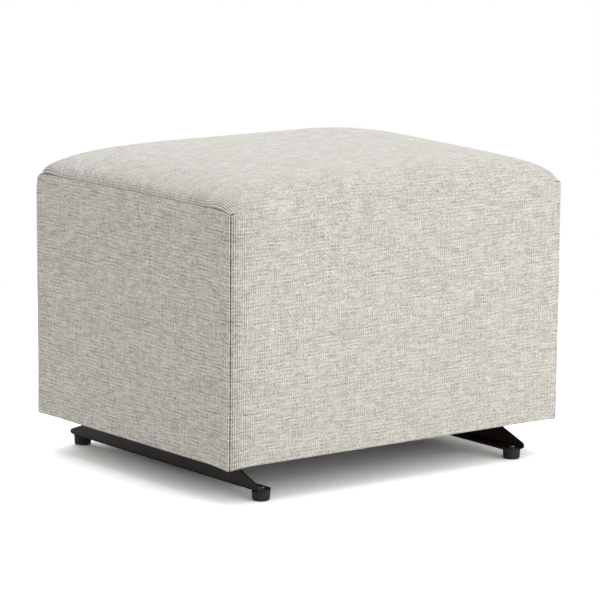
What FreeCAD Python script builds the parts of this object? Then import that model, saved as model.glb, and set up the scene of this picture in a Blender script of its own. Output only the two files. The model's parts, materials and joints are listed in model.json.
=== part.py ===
import FreeCAD
import Part

import math
import os

# A gliding footstool. An upholstered box hangs on four swing links inside a low steel base,
# so that it glides front to back and always stays level.
# Lengths are millimetres. X runs across the width, Y from the front to the back, Z up from the floor.
# The origin is on the floor, in the middle of the footstool.

Vector = FreeCAD.Vector

# Upholstered body, measured over the cover
BODY_WIDTH = 597.0
BODY_DEPTH = 462.0
FLOOR_CLEARANCE = 53.5
FABRIC = 1.5
HEM_RETURN = 24.0
FRAME_HEIGHT = 297.0

# Crowned top, measured up from the deck board
SEAM_RISE = 48.0
SEAM_BOW = 3.0
SEAM_SHOULDER_DROP = 7.5
SEAM_SHOULDER_RUN = 31.0
SEAM_SHOULDER_BULGE = 2.5
CROWN_RISE = 89.0
CROWN_BOW = 7.0
ROLL_DROP = 49.5
ROLL_RUN = 46.0
ROLL_BULGE = 13.3
CROWN_POWER = 4.1
CROWN_ROUNDNESS = 1.93

# Padding and boards around the wooden frame
WADDING = 6.0
SOFT_GAP = 0.3
SIDE_BOARD = 3.0
DECK_THICKNESS = 12.0

# Wooden frame
RAIL_THICKNESS = 20.0
BOTTOM_RAIL_HEIGHT = 70.0
TOP_RAIL_HEIGHT = 40.0
POST_SIZE = 35.0
SLAT_WIDTH = 60.0
SLAT_THICKNESS = 20.0
MECHANISM_RAIL_WIDTH = 39.0
MECHANISM_RAIL_RISE = 36.0
DUST_COVER_THICKNESS = 0.8
DUST_COVER_LAP = 14.0
DECK_SCREW_DIAMETER = 4.0
DECK_SCREW_HEAD = 8.0
DECK_SCREW_LENGTH = 35.0
DECK_SCREW_INSET = 60.0

# Staples along the cover's hem
STAPLE_WIRE = 0.7
STAPLE_CROWN = 10.0
STAPLE_LEG = 9.0
STAPLE_PITCH = 62.0
STAPLE_INSET = 14.0

# Steel base
STEEL = 3.0
BEND_RADIUS = 2.0
SIDE_GAP = 24.2
NOSE_SETBACK = 2.3
NOSE_RADIUS = 5.0
NOSE_SLOPE = 20.0
FLANGE_WIDTH = 27.5
TOWER_FOOT_OUT = 42.0
TOWER_RADIUS = 16.0
TOWER_WAIST_IN = 34.0
WEB_BELOW_PIVOT = 57.0
FOOT_DIAMETER = 26.0
FOOT_TAPER = 1.0
FOOT_HEIGHT = 13.5
FOOT_EDGE_RADIUS = 2.5
FOOT_FROM_NOSE = 12.6
FOOT_SCREW_DIAMETER = 6.0
FOOT_SCREW_HEAD = 11.0
FOOT_SCREW_HEAD_HEIGHT = 3.2
FOOT_SCREW_CROWN = 1.9
FOOT_SCREW_SLOT_LENGTH = 6.0
FOOT_SCREW_SLOT_WIDTH = 1.3
FOOT_SCREW_SLOT_DEPTH = 1.6
FOOT_SCREW_DEPTH = 9.0
SCREW_HOLE_CLEARANCE = 0.3

# Cross bars that join the two base sides
CROSS_BAR_OUT = 12.0
CROSS_BAR_HEIGHT = 25.0
CROSS_BAR_DEPTH = 22.0
CROSS_BAR_GAP = 8.0
CROSS_BAR_TAB = 66.0
CROSS_BOLT_SPACING = 46.0
CROSS_BOLT_DIAMETER = 6.0
CROSS_BOLT_HEX = 10.0
CROSS_BOLT_HEAD_HEIGHT = 4.0
CROSS_NUT_HEIGHT = 5.0
CROSS_BOLT_END = 2.0

# Swing links and their pivots
LINK_LENGTH = 110.0
LINK_WIDTH = 24.0
LINK_THICKNESS = 4.0
LINK_SWING = 22.0
PIVOT_FROM_RAIL = 100.5
PIVOT_DIAMETER = 10.0
PIVOT_RUNNING_CLEARANCE = 0.05
PIVOT_HEAD_DIAMETER = 18.0
PIVOT_HEAD_HEIGHT = 3.0
PIVOT_END = 1.6
BUSH_DIAMETER = 14.0
BUSH_FLANGE_DIAMETER = 19.0
BUSH_FLANGE = 1.5
UPPER_SPACER = 6.2
LOWER_SPACER = 5.4
SPACER_DIAMETER = 16.0
END_CLEARANCE = 0.1
CLIP_DIAMETER = 16.0
CLIP_THICKNESS = 1.2
CLIP_CLEARANCE = 0.2

# Hanger rails, which carry the wooden frame on the lower pivots
HANGER_OVERHANG = 65.0
HANGER_FLANGE = 25.0
HANGER_PIVOT_DROP = 16.0
HANGER_BELOW_PIVOT = 13.0
HANGER_SCREW_DIAMETER = 6.0
HANGER_SCREW_LENGTH = 24.0
HANGER_SCREW_HEX = 10.0
HANGER_SCREW_HEAD_HEIGHT = 4.0
HANGER_SCREW_SPACING = 130.0
HANGER_SCREW_COUNT = 3

# Rubber stops that a link meets at the end of its swing
BUMPER_DIAMETER = 16.0
BUMPER_LENGTH = 13.0
BUMPER_REACH = 85.0
BUMPER_TOUCH_GAP = 0.4

# Levels and faces that follow from the sizes above
frame_bottom = FLOOR_CLEARANCE + FABRIC
frame_top = frame_bottom + FRAME_HEIGHT
deck_top = frame_top + DECK_THICKNESS
padding_x = BODY_WIDTH / 2 - FABRIC
padding_y = BODY_DEPTH / 2 - FABRIC
board_x = padding_x - WADDING
board_y = padding_y - WADDING
frame_x = board_x - SIDE_BOARD
frame_y = board_y - SIDE_BOARD
rail_inner_x = frame_x - RAIL_THICKNESS
rail_inner_y = frame_y - RAIL_THICKNESS

base_x = rail_inner_x - SIDE_GAP
base_inner_x = base_x - STEEL
flange_inner_x = base_x - FLANGE_WIDTH
nose_tip = BODY_DEPTH / 2 - NOSE_SETBACK
foot_x = base_x - FLANGE_WIDTH / 2
foot_y = nose_tip - FOOT_FROM_NOSE

link_outer_x = base_inner_x - UPPER_SPACER - END_CLEARANCE - BUSH_FLANGE
link_inner_x = link_outer_x - LINK_THICKNESS
bush_outer_x = link_outer_x + BUSH_FLANGE
bush_inner_x = link_inner_x - BUSH_FLANGE
hanger_outer_x = bush_inner_x - END_CLEARANCE - LOWER_SPACER
hanger_inner_x = hanger_outer_x - STEEL
mechanism_rail_outer_x = hanger_inner_x
mechanism_rail_inner_x = mechanism_rail_outer_x - MECHANISM_RAIL_WIDTH

hanger_top = frame_bottom + MECHANISM_RAIL_RISE
lower_pivot_z = hanger_top - HANGER_PIVOT_DROP
upper_pivot_z = lower_pivot_z + LINK_LENGTH
hanger_bottom = lower_pivot_z - HANGER_BELOW_PIVOT
web_top = upper_pivot_z - WEB_BELOW_PIVOT
cross_bar_top = hanger_bottom - CROSS_BAR_GAP
cross_bar_middle = cross_bar_top - CROSS_BAR_HEIGHT / 2
pivot_y = rail_inner_y - PIVOT_FROM_RAIL
hanger_half = pivot_y + HANGER_OVERHANG
tower_foot_y = pivot_y + TOWER_FOOT_OUT
tower_waist_y = pivot_y - TOWER_WAIST_IN
cross_bar_y = pivot_y + CROSS_BAR_OUT

SIDES = {"left": -1, "right": 1}
ENDS = {"front": -1, "back": 1}


def box(x0, x1, y0, y1, z0, z1):
    """A block between two corners, given in any order."""
    low = Vector(min(x0, x1), min(y0, y1), min(z0, z1))
    return Part.makeBox(abs(x1 - x0), abs(y1 - y0), abs(z1 - z0), low)


def rod(x0, x1, y, z, diameter):
    """A round bar along X."""
    return Part.makeCylinder(diameter / 2, abs(x1 - x0), Vector(min(x0, x1), y, z), Vector(1, 0, 0))


def tube(x0, x1, y, z, outer, inner):
    """A round sleeve along X."""
    return rod(x0, x1, y, z, outer).cut(rod(x0, x1, y, z, inner))


def post(x, y, z0, z1, diameter):
    """A round bar along Z."""
    return Part.makeCylinder(diameter / 2, z1 - z0, Vector(x, y, z0))


def hexagon(across_flats, height, base, axis):
    """A hexagonal head or nut that starts at base and grows along axis."""
    radius = across_flats / math.sqrt(3)
    turn = FreeCAD.Rotation(Vector(0, 0, 1), axis)
    corners = []
    for k in range(7):
        angle = math.radians(60 * k)
        corner = Vector(radius * math.cos(angle), radius * math.sin(angle), 0)
        corners.append(base + turn.multVec(corner))
    return Part.Face(Part.makePolygon(corners)).extrude(axis * height)


def mirrored(shape, side):
    """A shape made for the right-hand side, on the side asked for."""
    if side > 0:
        return shape
    return shape.mirror(Vector(0, 0, 0), Vector(1, 0, 0))


def group(shapes):
    """Several separate solids that share one node."""
    return Part.makeCompound(shapes)


# The crowned body

def crown_share(u):
    """How far the top has risen from the side seam, 0, to the middle, 1, at a share u of the half width."""
    return max(0.0, 1 - abs(u) ** CROWN_POWER) ** (1 / CROWN_ROUNDNESS)


def crown_station(share):
    """The share of the half width at which the top has risen by that share."""
    return (1 - share ** CROWN_ROUNDNESS) ** (1 / CROWN_POWER)


def between(at_seam, at_middle, share):
    return at_seam + (at_middle - at_seam) * share


def body_section(x, share, inset, bottom):
    """The body's outline across the depth at one place along its width."""
    half = BODY_DEPTH / 2 - inset
    run = between(SEAM_SHOULDER_RUN, ROLL_RUN, share)
    drop = between(SEAM_SHOULDER_DROP, ROLL_DROP, share)
    bulge = between(SEAM_SHOULDER_BULGE, ROLL_BULGE, share)
    bow = between(SEAM_BOW, CROWN_BOW, share)
    middle = deck_top + between(SEAM_RISE, CROWN_RISE, share) - inset
    shoulder = middle - bow
    corner = shoulder - drop
    chord = math.hypot(run, drop)
    roll_y = half - run / 2 + bulge * drop / chord
    roll_z = (shoulder + corner) / 2 + bulge * run / chord
    points = {
        "low_front": Vector(x, -half, bottom),
        "low_back": Vector(x, half, bottom),
        "corner_front": Vector(x, -half, corner),
        "corner_back": Vector(x, half, corner),
        "roll_front": Vector(x, -roll_y, roll_z),
        "roll_back": Vector(x, roll_y, roll_z),
        "shoulder_front": Vector(x, run - half, shoulder),
        "shoulder_back": Vector(x, half - run, shoulder),
        "middle": Vector(x, 0, middle),
    }
    edges = [
        Part.LineSegment(points["low_back"], points["low_front"]),
        Part.LineSegment(points["low_front"], points["corner_front"]),
        Part.Arc(points["corner_front"], points["roll_front"], points["shoulder_front"]),
        Part.Arc(points["shoulder_front"], points["middle"], points["shoulder_back"]),
        Part.Arc(points["shoulder_back"], points["roll_back"], points["corner_back"]),
        Part.LineSegment(points["corner_back"], points["low_back"]),
    ]
    return Part.Wire([edge.toShape() for edge in edges])


CROWN_SHARES = (0.0, 0.25, 0.45, 0.65, 0.8, 0.92, 0.985)


def crowned_body(inset, bottom):
    """The whole body as one crowned block, taken in by inset on the sides, ends and top."""
    half = BODY_WIDTH / 2 - inset
    stations = [(crown_station(share), share) for share in CROWN_SHARES]
    places = [(-u, share) for u, share in stations] + [(0.0, 1.0)]
    places += [(u, share) for u, share in reversed(stations)]
    wires = [body_section(u * half, share, inset, bottom) for u, share in places]
    return Part.makeLoft(wires, True, False)


def cover_pieces():
    """The sewn cover: one centre panel over the front, top and back, and a panel at each side."""
    outside = crowned_body(0.0, FLOOR_CLEARANCE)
    inside = crowned_body(FABRIC, frame_bottom)
    mouth_x = BODY_WIDTH / 2 - HEM_RETURN
    mouth_y = BODY_DEPTH / 2 - HEM_RETURN
    mouth = box(-mouth_x, mouth_x, -mouth_y, mouth_y, FLOOR_CLEARANCE - 1, frame_bottom + 1)
    cover = outside.cut(inside).cut(mouth)
    ceiling = deck_top + CROWN_RISE + 1
    pieces = {}
    centre = cover
    for name, side in SIDES.items():
        wall = box(side * padding_x, side * (BODY_WIDTH / 2 + 1), -BODY_DEPTH, BODY_DEPTH, 0, ceiling)
        hem = box(side * mouth_x, side * BODY_WIDTH, -padding_y, padding_y, 0, frame_bottom)
        region = wall.fuse(hem)
        pieces["cover_" + name] = cover.common(region)
        centre = centre.cut(region)
    pieces["cover_centre"] = centre
    return pieces


def top_padding():
    """The foam pad on the deck board, and the fibre sheet that wraps its top and edges."""
    wrap_outside = FABRIC + SOFT_GAP
    wrap_inside = wrap_outside + WADDING
    wrap = crowned_body(wrap_outside, deck_top).cut(crowned_body(wrap_inside, deck_top))
    return {"foam_pad": crowned_body(wrap_inside + SOFT_GAP, deck_top), "fibre_wrap": wrap}


# The wooden frame and its boards

def flat_side(name, outer_x, outer_y, thickness, z0, z1):
    """Four flat sheets round the frame: front and back run the full width, the sides fit between."""
    inner_x = outer_x - thickness
    inner_y = outer_y - thickness
    pieces = {}
    for end, sign in ENDS.items():
        pieces[name + "_" + end] = box(-outer_x, outer_x, sign * inner_y, sign * outer_y, z0, z1)
    for side, sign in SIDES.items():
        pieces[name + "_" + side] = box(sign * inner_x, sign * outer_x, -inner_y, inner_y, z0, z1)
    return pieces


def frame_rails(name, z0, z1):
    """Four rails between the corner posts at one level."""
    reach_x = frame_x - POST_SIZE
    reach_y = frame_y - POST_SIZE
    pieces = {}
    for end, sign in ENDS.items():
        pieces[name + "_" + end] = box(-reach_x, reach_x, sign * rail_inner_y, sign * frame_y, z0, z1)
    for side, sign in SIDES.items():
        pieces[name + "_" + side] = box(sign * rail_inner_x, sign * frame_x, -reach_y, reach_y, z0, z1)
    return pieces


def corner_posts():
    pieces = {}
    for end, sy in ENDS.items():
        for side, sx in SIDES.items():
            pieces["corner_post_" + end + "_" + side] = box(
                sx * (frame_x - POST_SIZE), sx * frame_x,
                sy * (frame_y - POST_SIZE), sy * frame_y, frame_bottom, frame_top)
    return pieces


def deck_screw_places():
    """Screws along all four top rails, clear of the corner posts."""
    x_line = frame_x - RAIL_THICKNESS / 2
    y_line = frame_y - RAIL_THICKNESS / 2
    x_end = frame_x - POST_SIZE - DECK_SCREW_INSET
    y_end = frame_y - POST_SIZE - DECK_SCREW_INSET
    places = [(x, y) for x in (-x_end, 0.0, x_end) for y in (-y_line, y_line)]
    places += [(x, y) for x in (-x_line, x_line) for y in (-y_end, y_end)]
    return places


def deck_screw(x, y):
    """A countersunk wood screw, driven flush with the deck."""
    head = (DECK_SCREW_HEAD - DECK_SCREW_DIAMETER) / 2
    cone = Part.makeCone(DECK_SCREW_DIAMETER / 2, DECK_SCREW_HEAD / 2, head, Vector(x, y, deck_top - head))
    return cone.fuse(post(x, y, deck_top - DECK_SCREW_LENGTH, deck_top - head, DECK_SCREW_DIAMETER))


def hem_staple(x, y, along_x):
    """A wire staple: a flat crown on the hem and two legs up into the rail."""
    half = STAPLE_CROWN / 2
    wire = STAPLE_WIRE / 2
    top = FLOOR_CLEARANCE + STAPLE_LEG
    low = FLOOR_CLEARANCE - STAPLE_WIRE
    crown = box(-half, half, -wire, wire, low, FLOOR_CLEARANCE)
    legs = [box(s * half, s * (half - STAPLE_WIRE), -wire, wire, low, top) for s in (-1, 1)]
    staple = crown.fuse(legs)
    if not along_x:
        staple.rotate(Vector(0, 0, 0), Vector(0, 0, 1), 90)
    staple.translate(Vector(x, y, 0))
    return staple


def hem_staples():
    """Staples at an even pitch along the hem on all four bottom rails."""
    x_line = BODY_WIDTH / 2 - STAPLE_INSET
    y_line = BODY_DEPTH / 2 - STAPLE_INSET
    x_count = int((frame_x - POST_SIZE) / STAPLE_PITCH)
    y_count = int((frame_y - POST_SIZE) / STAPLE_PITCH)
    staples = []
    for k in range(-x_count, x_count + 1):
        staples += [hem_staple(k * STAPLE_PITCH, s * y_line, True) for s in (-1, 1)]
    for k in range(-y_count, y_count + 1):
        staples += [hem_staple(s * x_line, k * STAPLE_PITCH, False) for s in (-1, 1)]
    return staples


def wooden_frame(staples):
    pieces = {}
    pieces.update(corner_posts())
    pieces.update(frame_rails("bottom_rail", frame_bottom, frame_bottom + BOTTOM_RAIL_HEIGHT))
    pieces.update(frame_rails("top_rail", frame_top - TOP_RAIL_HEIGHT, frame_top))
    pieces.update(flat_side("side_board", board_x, board_y, SIDE_BOARD, frame_bottom, deck_top))
    pieces.update(flat_side("side_padding", padding_x, padding_y, WADDING, frame_bottom, deck_top))
    pieces["deck_board"] = box(-frame_x, frame_x, -frame_y, frame_y, frame_top, deck_top)
    pieces["deck_slat"] = box(-SLAT_WIDTH / 2, SLAT_WIDTH / 2, -rail_inner_y, rail_inner_y,
                              frame_top - SLAT_THICKNESS, frame_top)
    screws = group([deck_screw(x, y) for x, y in deck_screw_places()])
    for name in ("deck_board", "top_rail_front", "top_rail_back", "top_rail_left", "top_rail_right"):
        pieces[name] = pieces[name].cut(screws)
    pieces["deck_screws"] = screws
    for name in ("front", "back", "left", "right"):
        pieces["bottom_rail_" + name] = pieces["bottom_rail_" + name].cut(staples)
    lap_x = mechanism_rail_inner_x + DUST_COVER_LAP
    pieces["dust_cover"] = box(-lap_x, lap_x, -rail_inner_y, rail_inner_y,
                               hanger_top - DUST_COVER_THICKNESS, hanger_top)
    return pieces


# The hanger rails

def hanger_screw_places():
    """Where the screws go up through a hanger rail, for the right-hand side."""
    x = hanger_outer_x - STEEL - HANGER_FLANGE / 2 + STEEL / 2
    middle = (HANGER_SCREW_COUNT - 1) / 2
    return [(x, (k - middle) * HANGER_SCREW_SPACING) for k in range(HANGER_SCREW_COUNT)]


def bent_angle(outer_x, flange_x, corner_z, far_z, y0, y1):
    """A bent steel angle along Y: a web at outer_x up or down to far_z, a flange inwards at corner_z."""
    up = 1 if far_z > corner_z else -1
    outer = STEEL + BEND_RADIUS
    centre = Vector(outer_x - outer, y0, corner_z + up * outer)
    slant = math.sqrt(0.5)

    def bend(radius):
        return centre + Vector(radius * slant, 0, -up * radius * slant)

    points = [
        Vector(outer_x, y0, far_z),
        Vector(outer_x, y0, corner_z + up * outer),
        Vector(outer_x - outer, y0, corner_z),
        Vector(flange_x, y0, corner_z),
        Vector(flange_x, y0, corner_z + up * STEEL),
        Vector(outer_x - outer, y0, corner_z + up * STEEL),
        Vector(outer_x - STEEL, y0, corner_z + up * outer),
        Vector(outer_x - STEEL, y0, far_z),
    ]
    edges = [
        Part.LineSegment(points[0], points[1]),
        Part.Arc(points[1], bend(outer), points[2]),
        Part.LineSegment(points[2], points[3]),
        Part.LineSegment(points[3], points[4]),
        Part.LineSegment(points[4], points[5]),
        Part.Arc(points[5], bend(BEND_RADIUS), points[6]),
        Part.LineSegment(points[6], points[7]),
        Part.LineSegment(points[7], points[0]),
    ]
    wire = Part.Wire([edge.toShape() for edge in edges])
    return Part.Face(wire).extrude(Vector(0, y1 - y0, 0))


def hanger_rail():
    """The right-hand hanger rail: a web with the lower pivots, and a flange under the wooden rail."""
    flange_x = hanger_outer_x - HANGER_FLANGE
    rail = bent_angle(hanger_outer_x, flange_x, hanger_top, hanger_bottom, -hanger_half, hanger_half)
    for y in (-pivot_y, pivot_y):
        rail = rail.cut(rod(hanger_inner_x - 1, hanger_outer_x + 1, y, lower_pivot_z, PIVOT_DIAMETER))
    for x, y in hanger_screw_places():
        hole = HANGER_SCREW_DIAMETER + 2 * SCREW_HOLE_CLEARANCE
        rail = rail.cut(post(x, y, hanger_top - STEEL - 1, hanger_top + 1, hole))
    return rail


def hanger_screw(x, y):
    """A hex-head wood screw, driven up through the flange."""
    under = Vector(x, y, hanger_top - STEEL - HANGER_SCREW_HEAD_HEIGHT)
    head = hexagon(HANGER_SCREW_HEX, HANGER_SCREW_HEAD_HEIGHT, under, Vector(0, 0, 1))
    shank = post(x, y, hanger_top - STEEL, hanger_top + HANGER_SCREW_LENGTH, HANGER_SCREW_DIAMETER)
    return head.fuse(shank)


def mechanism_rail():
    """The right-hand wooden rail that the hanger rail screws to."""
    block = box(mechanism_rail_inner_x, mechanism_rail_outer_x, -rail_inner_y, rail_inner_y,
                hanger_top, frame_bottom + BOTTOM_RAIL_HEIGHT)
    tip = hanger_top + HANGER_SCREW_LENGTH
    for x, y in hanger_screw_places():
        block = block.cut(post(x, y, hanger_top - 1, tip, HANGER_SCREW_DIAMETER))
    return block


def pivot_pin(head_x, grip_x, end_x, y, z):
    """A round pin with a flat head at head_x, under the head at grip_x and a plain end at end_x."""
    head = rod(head_x, grip_x, y, z, PIVOT_HEAD_DIAMETER)
    return head.fuse(rod(grip_x, end_x, y, z, PIVOT_DIAMETER))


def pivot_nodes(name, make):
    """The pins, spacers and clips of all four pivots at one level, one node for each kind."""
    sets = []
    for side in SIDES.values():
        for y in (-pivot_y, pivot_y):
            sets.append([mirrored(solid, side) for solid in make(y)])
    kinds = ("_pins", "_spacers", "_clips")
    return {name + kind: group(solids) for kind, solids in zip(kinds, zip(*sets))}


def lower_pivot(y):
    """The pin, spacer and clip of one lower pivot, for the right-hand side."""
    clip_x = bush_outer_x + CLIP_CLEARANCE
    head_x = hanger_inner_x - PIVOT_HEAD_HEIGHT
    end_x = clip_x + CLIP_THICKNESS + PIVOT_END
    z = lower_pivot_z
    pin = pivot_pin(head_x, hanger_inner_x, end_x, y, z)
    spacer = tube(hanger_outer_x, hanger_outer_x + LOWER_SPACER, y, z, SPACER_DIAMETER, PIVOT_DIAMETER)
    clip = tube(clip_x, clip_x + CLIP_THICKNESS, y, z, CLIP_DIAMETER, PIVOT_DIAMETER)
    return pin, spacer, clip


def hangers():
    pieces = {}
    for name, side in SIDES.items():
        pieces["hanger_rail_" + name] = mirrored(hanger_rail(), side)
        pieces["mechanism_rail_" + name] = mirrored(mechanism_rail(), side)
    screws = [hanger_screw(x, y) for x, y in hanger_screw_places()]
    pieces["hanger_screws"] = group([mirrored(s, side) for side in SIDES.values() for s in screws])
    pieces.update(pivot_nodes("lower_pivot", lower_pivot))
    return pieces


# The swing links

def link(y):
    """A flat bar with round ends and two eyes, hanging straight down at rest."""
    radius = LINK_WIDTH / 2
    bar = box(link_inner_x, link_outer_x, y - radius, y + radius, lower_pivot_z, upper_pivot_z)
    for z in (lower_pivot_z, upper_pivot_z):
        bar = bar.fuse(rod(link_inner_x, link_outer_x, y, z, LINK_WIDTH))
    bar = bar.removeSplitter()
    for z in (lower_pivot_z, upper_pivot_z):
        bar = bar.cut(rod(link_inner_x - 1, link_outer_x + 1, y, z, BUSH_DIAMETER))
    return bar


def bush(y, z):
    """A nylon bush that snaps into a link's eye, with a flange on each face."""
    sleeve = rod(bush_inner_x, bush_outer_x, y, z, BUSH_DIAMETER)
    for x0, x1 in ((bush_inner_x, link_inner_x), (link_outer_x, bush_outer_x)):
        sleeve = sleeve.fuse(rod(x0, x1, y, z, BUSH_FLANGE_DIAMETER))
    bore = PIVOT_DIAMETER + 2 * PIVOT_RUNNING_CLEARANCE
    return sleeve.cut(rod(bush_inner_x - 1, bush_outer_x + 1, y, z, bore))


def swing_links():
    pieces = {}
    for end, sy in ENDS.items():
        for side, sx in SIDES.items():
            place = end + "_" + side
            y = sy * pivot_y
            bushes = [mirrored(bush(y, z), sx) for z in (lower_pivot_z, upper_pivot_z)]
            pieces["link_" + place] = mirrored(link(y), sx)
            pieces["link_bushes_" + place] = group(bushes)
    return pieces


# The steel base

def tangent_point(y, z, centre_y, centre_z, radius, turn):
    """Where a line from a point outside a circle touches it. turn is 1 or -1 for the two tangents."""
    away = math.atan2(z - centre_z, y - centre_y)
    half = math.acos(radius / math.hypot(y - centre_y, z - centre_z))
    angle = away + turn * half
    return centre_y + radius * math.cos(angle), centre_z + radius * math.sin(angle)


def web_outline():
    """The base side seen from the side: its back half's edges, from the bottom to the top, as y and z."""
    slope = math.radians(NOSE_SLOPE)
    nose_y = nose_tip - NOSE_RADIUS
    nose_z = FOOT_HEIGHT + NOSE_RADIUS
    leave_y = nose_y + NOSE_RADIUS * math.sin(slope)
    leave_z = nose_z + NOSE_RADIUS * math.cos(slope)
    knee_z = leave_z + (leave_y - tower_foot_y) * math.tan(slope)
    out_y, out_z = tangent_point(tower_foot_y, knee_z, pivot_y, upper_pivot_z, TOWER_RADIUS, 1)
    in_y, in_z = tangent_point(tower_waist_y, web_top, pivot_y, upper_pivot_z, TOWER_RADIUS, -1)
    return [
        ("line", (0.0, FOOT_HEIGHT), (nose_y, FOOT_HEIGHT)),
        ("arc", (nose_y, FOOT_HEIGHT), (nose_tip, nose_z), (leave_y, leave_z)),
        ("line", (leave_y, leave_z), (tower_foot_y, knee_z)),
        ("line", (tower_foot_y, knee_z), (out_y, out_z)),
        ("arc", (out_y, out_z), (pivot_y, upper_pivot_z + TOWER_RADIUS), (in_y, in_z)),
        ("line", (in_y, in_z), (tower_waist_y, web_top)),
        ("line", (tower_waist_y, web_top), (0.0, web_top)),
    ]


def web_prism():
    """The base side's outline, both halves, as a block that is wider than the base side."""
    edges = []
    for sign in (1, -1):
        for kind, *points in web_outline():
            corners = [Vector(base_x + 1, sign * y, z) for y, z in points]
            edges.append(Part.LineSegment(*corners) if kind == "line" else Part.Arc(*corners))
    wire = Part.Wire(Part.__sortEdges__([edge.toShape() for edge in edges]))
    return Part.Face(wire).extrude(Vector(-FLANGE_WIDTH - 2, 0, 0))


def flange_plate():
    """The flat bottom flange with a rounded ear at each end, where the feet are."""
    joint_x = base_x - STEEL - BEND_RADIUS
    nose_y = nose_tip - NOSE_RADIUS
    round_x = flange_inner_x + FOOT_FROM_NOSE
    slant = math.sqrt(0.5) * FOOT_FROM_NOSE
    z = FOOT_HEIGHT
    edges = []
    for s in (1, -1):
        ear = [Vector(joint_x, 0, z), Vector(joint_x, s * nose_y, z), Vector(round_x, s * nose_tip, z),
               Vector(round_x - slant, s * (foot_y + slant), z), Vector(flange_inner_x, s * foot_y, z),
               Vector(flange_inner_x, 0, z)]
        edges.append(Part.LineSegment(ear[0], ear[1]))
        edges.append(Part.LineSegment(ear[1], ear[2]))
        edges.append(Part.Arc(ear[2], ear[3], ear[4]))
        edges.append(Part.LineSegment(ear[4], ear[5]))
    wire = Part.Wire(Part.__sortEdges__([edge.toShape() for edge in edges]))
    return Part.Face(wire).extrude(Vector(0, 0, STEEL))


def base_side():
    """The right-hand base side: one pressed plate with two towers, a bottom flange and two ears."""
    joint_x = base_x - STEEL - BEND_RADIUS
    top = upper_pivot_z + TOWER_RADIUS
    angle = bent_angle(base_x, flange_inner_x, FOOT_HEIGHT, top, -nose_tip, nose_tip)
    web = angle.common(web_prism()).cut(box(0, joint_x, -nose_tip, nose_tip, 0, top))
    plate = web.fuse(flange_plate()).removeSplitter()
    foot_hole = FOOT_SCREW_DIAMETER + 2 * SCREW_HOLE_CLEARANCE
    for y in (-foot_y, foot_y):
        plate = plate.cut(post(foot_x, y, FOOT_HEIGHT - 1, FOOT_HEIGHT + STEEL + 1, foot_hole))
    for y in (-pivot_y, pivot_y):
        plate = plate.cut(rod(base_inner_x - 1, base_x + 1, y, upper_pivot_z, PIVOT_DIAMETER))
    for y in cross_bolt_places():
        hole = CROSS_BOLT_DIAMETER + 2 * SCREW_HOLE_CLEARANCE
        plate = plate.cut(rod(base_inner_x - 1, base_x + 1, y, cross_bar_middle, hole))
    return plate


def cross_bolt_places():
    return [s * cross_bar_y + t * CROSS_BOLT_SPACING / 2 for s in (-1, 1) for t in (-1, 1)]


def cross_bar(sign):
    """A channel between the base sides, open towards the middle, with a bolted tab at each end."""
    tab_x = base_inner_x - STEEL
    outer_y = sign * (cross_bar_y + CROSS_BAR_DEPTH / 2)
    inner_y = sign * (cross_bar_y - CROSS_BAR_DEPTH / 2)
    bottom = cross_bar_top - CROSS_BAR_HEIGHT
    bar = box(-tab_x, tab_x, outer_y, inner_y, bottom, cross_bar_top)
    floor = bottom + STEEL
    bar = bar.cut(box(-tab_x, tab_x, outer_y - sign * STEEL, inner_y - sign, floor, cross_bar_top - STEEL))
    for side in SIDES.values():
        tab = box(side * tab_x, side * base_inner_x, sign * cross_bar_y - CROSS_BAR_TAB / 2,
                  sign * cross_bar_y + CROSS_BAR_TAB / 2, bottom, cross_bar_top)
        bar = bar.fuse(tab)
    bar = bar.removeSplitter()
    for y in cross_bolt_places():
        hole = CROSS_BOLT_DIAMETER + 2 * SCREW_HOLE_CLEARANCE
        bar = bar.cut(rod(-base_x, -tab_x + 1, y, cross_bar_middle, hole))
        bar = bar.cut(rod(tab_x - 1, base_x, y, cross_bar_middle, hole))
    return bar


def cross_bolt(y):
    """A hex bolt through the base side and the cross bar's tab, and its nut."""
    z = cross_bar_middle
    tab_x = base_inner_x - STEEL
    end_x = tab_x - CROSS_NUT_HEIGHT - CROSS_BOLT_END
    inwards = Vector(-1, 0, 0)
    top = Vector(base_x + CROSS_BOLT_HEAD_HEIGHT, y, z)
    head = hexagon(CROSS_BOLT_HEX, CROSS_BOLT_HEAD_HEIGHT, top, inwards)
    bolt = head.fuse(rod(base_x, end_x, y, z, CROSS_BOLT_DIAMETER))
    nut = hexagon(CROSS_BOLT_HEX, CROSS_NUT_HEIGHT, Vector(tab_x, y, z), inwards)
    return [bolt, nut.cut(rod(base_x, end_x, y, z, CROSS_BOLT_DIAMETER))]


def upper_pivot(y):
    """The pin, spacer and clip of one upper pivot, for the right-hand side."""
    clip_x = bush_inner_x - CLIP_CLEARANCE
    end_x = clip_x - CLIP_THICKNESS - PIVOT_END
    z = upper_pivot_z
    pin = pivot_pin(base_x + PIVOT_HEAD_HEIGHT, base_x, end_x, y, z)
    spacer = tube(base_inner_x - UPPER_SPACER, base_inner_x, y, z, SPACER_DIAMETER, PIVOT_DIAMETER)
    clip = tube(clip_x - CLIP_THICKNESS, clip_x, y, z, CLIP_DIAMETER, PIVOT_DIAMETER)
    return pin, spacer, clip


def stop_bumper(sign):
    """A rubber stop on the base side, just touched by a link's inner edge at the end of its swing."""
    swing = math.radians(LINK_SWING)
    offset = LINK_WIDTH / 2 + BUMPER_TOUCH_GAP + BUMPER_DIAMETER / 2
    inward = BUMPER_REACH * math.sin(swing) + offset * math.cos(swing)
    drop = BUMPER_REACH * math.cos(swing) - offset * math.sin(swing)
    return rod(base_inner_x, base_inner_x - BUMPER_LENGTH, sign * (pivot_y - inward),
               upper_pivot_z - drop, BUMPER_DIAMETER)


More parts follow.
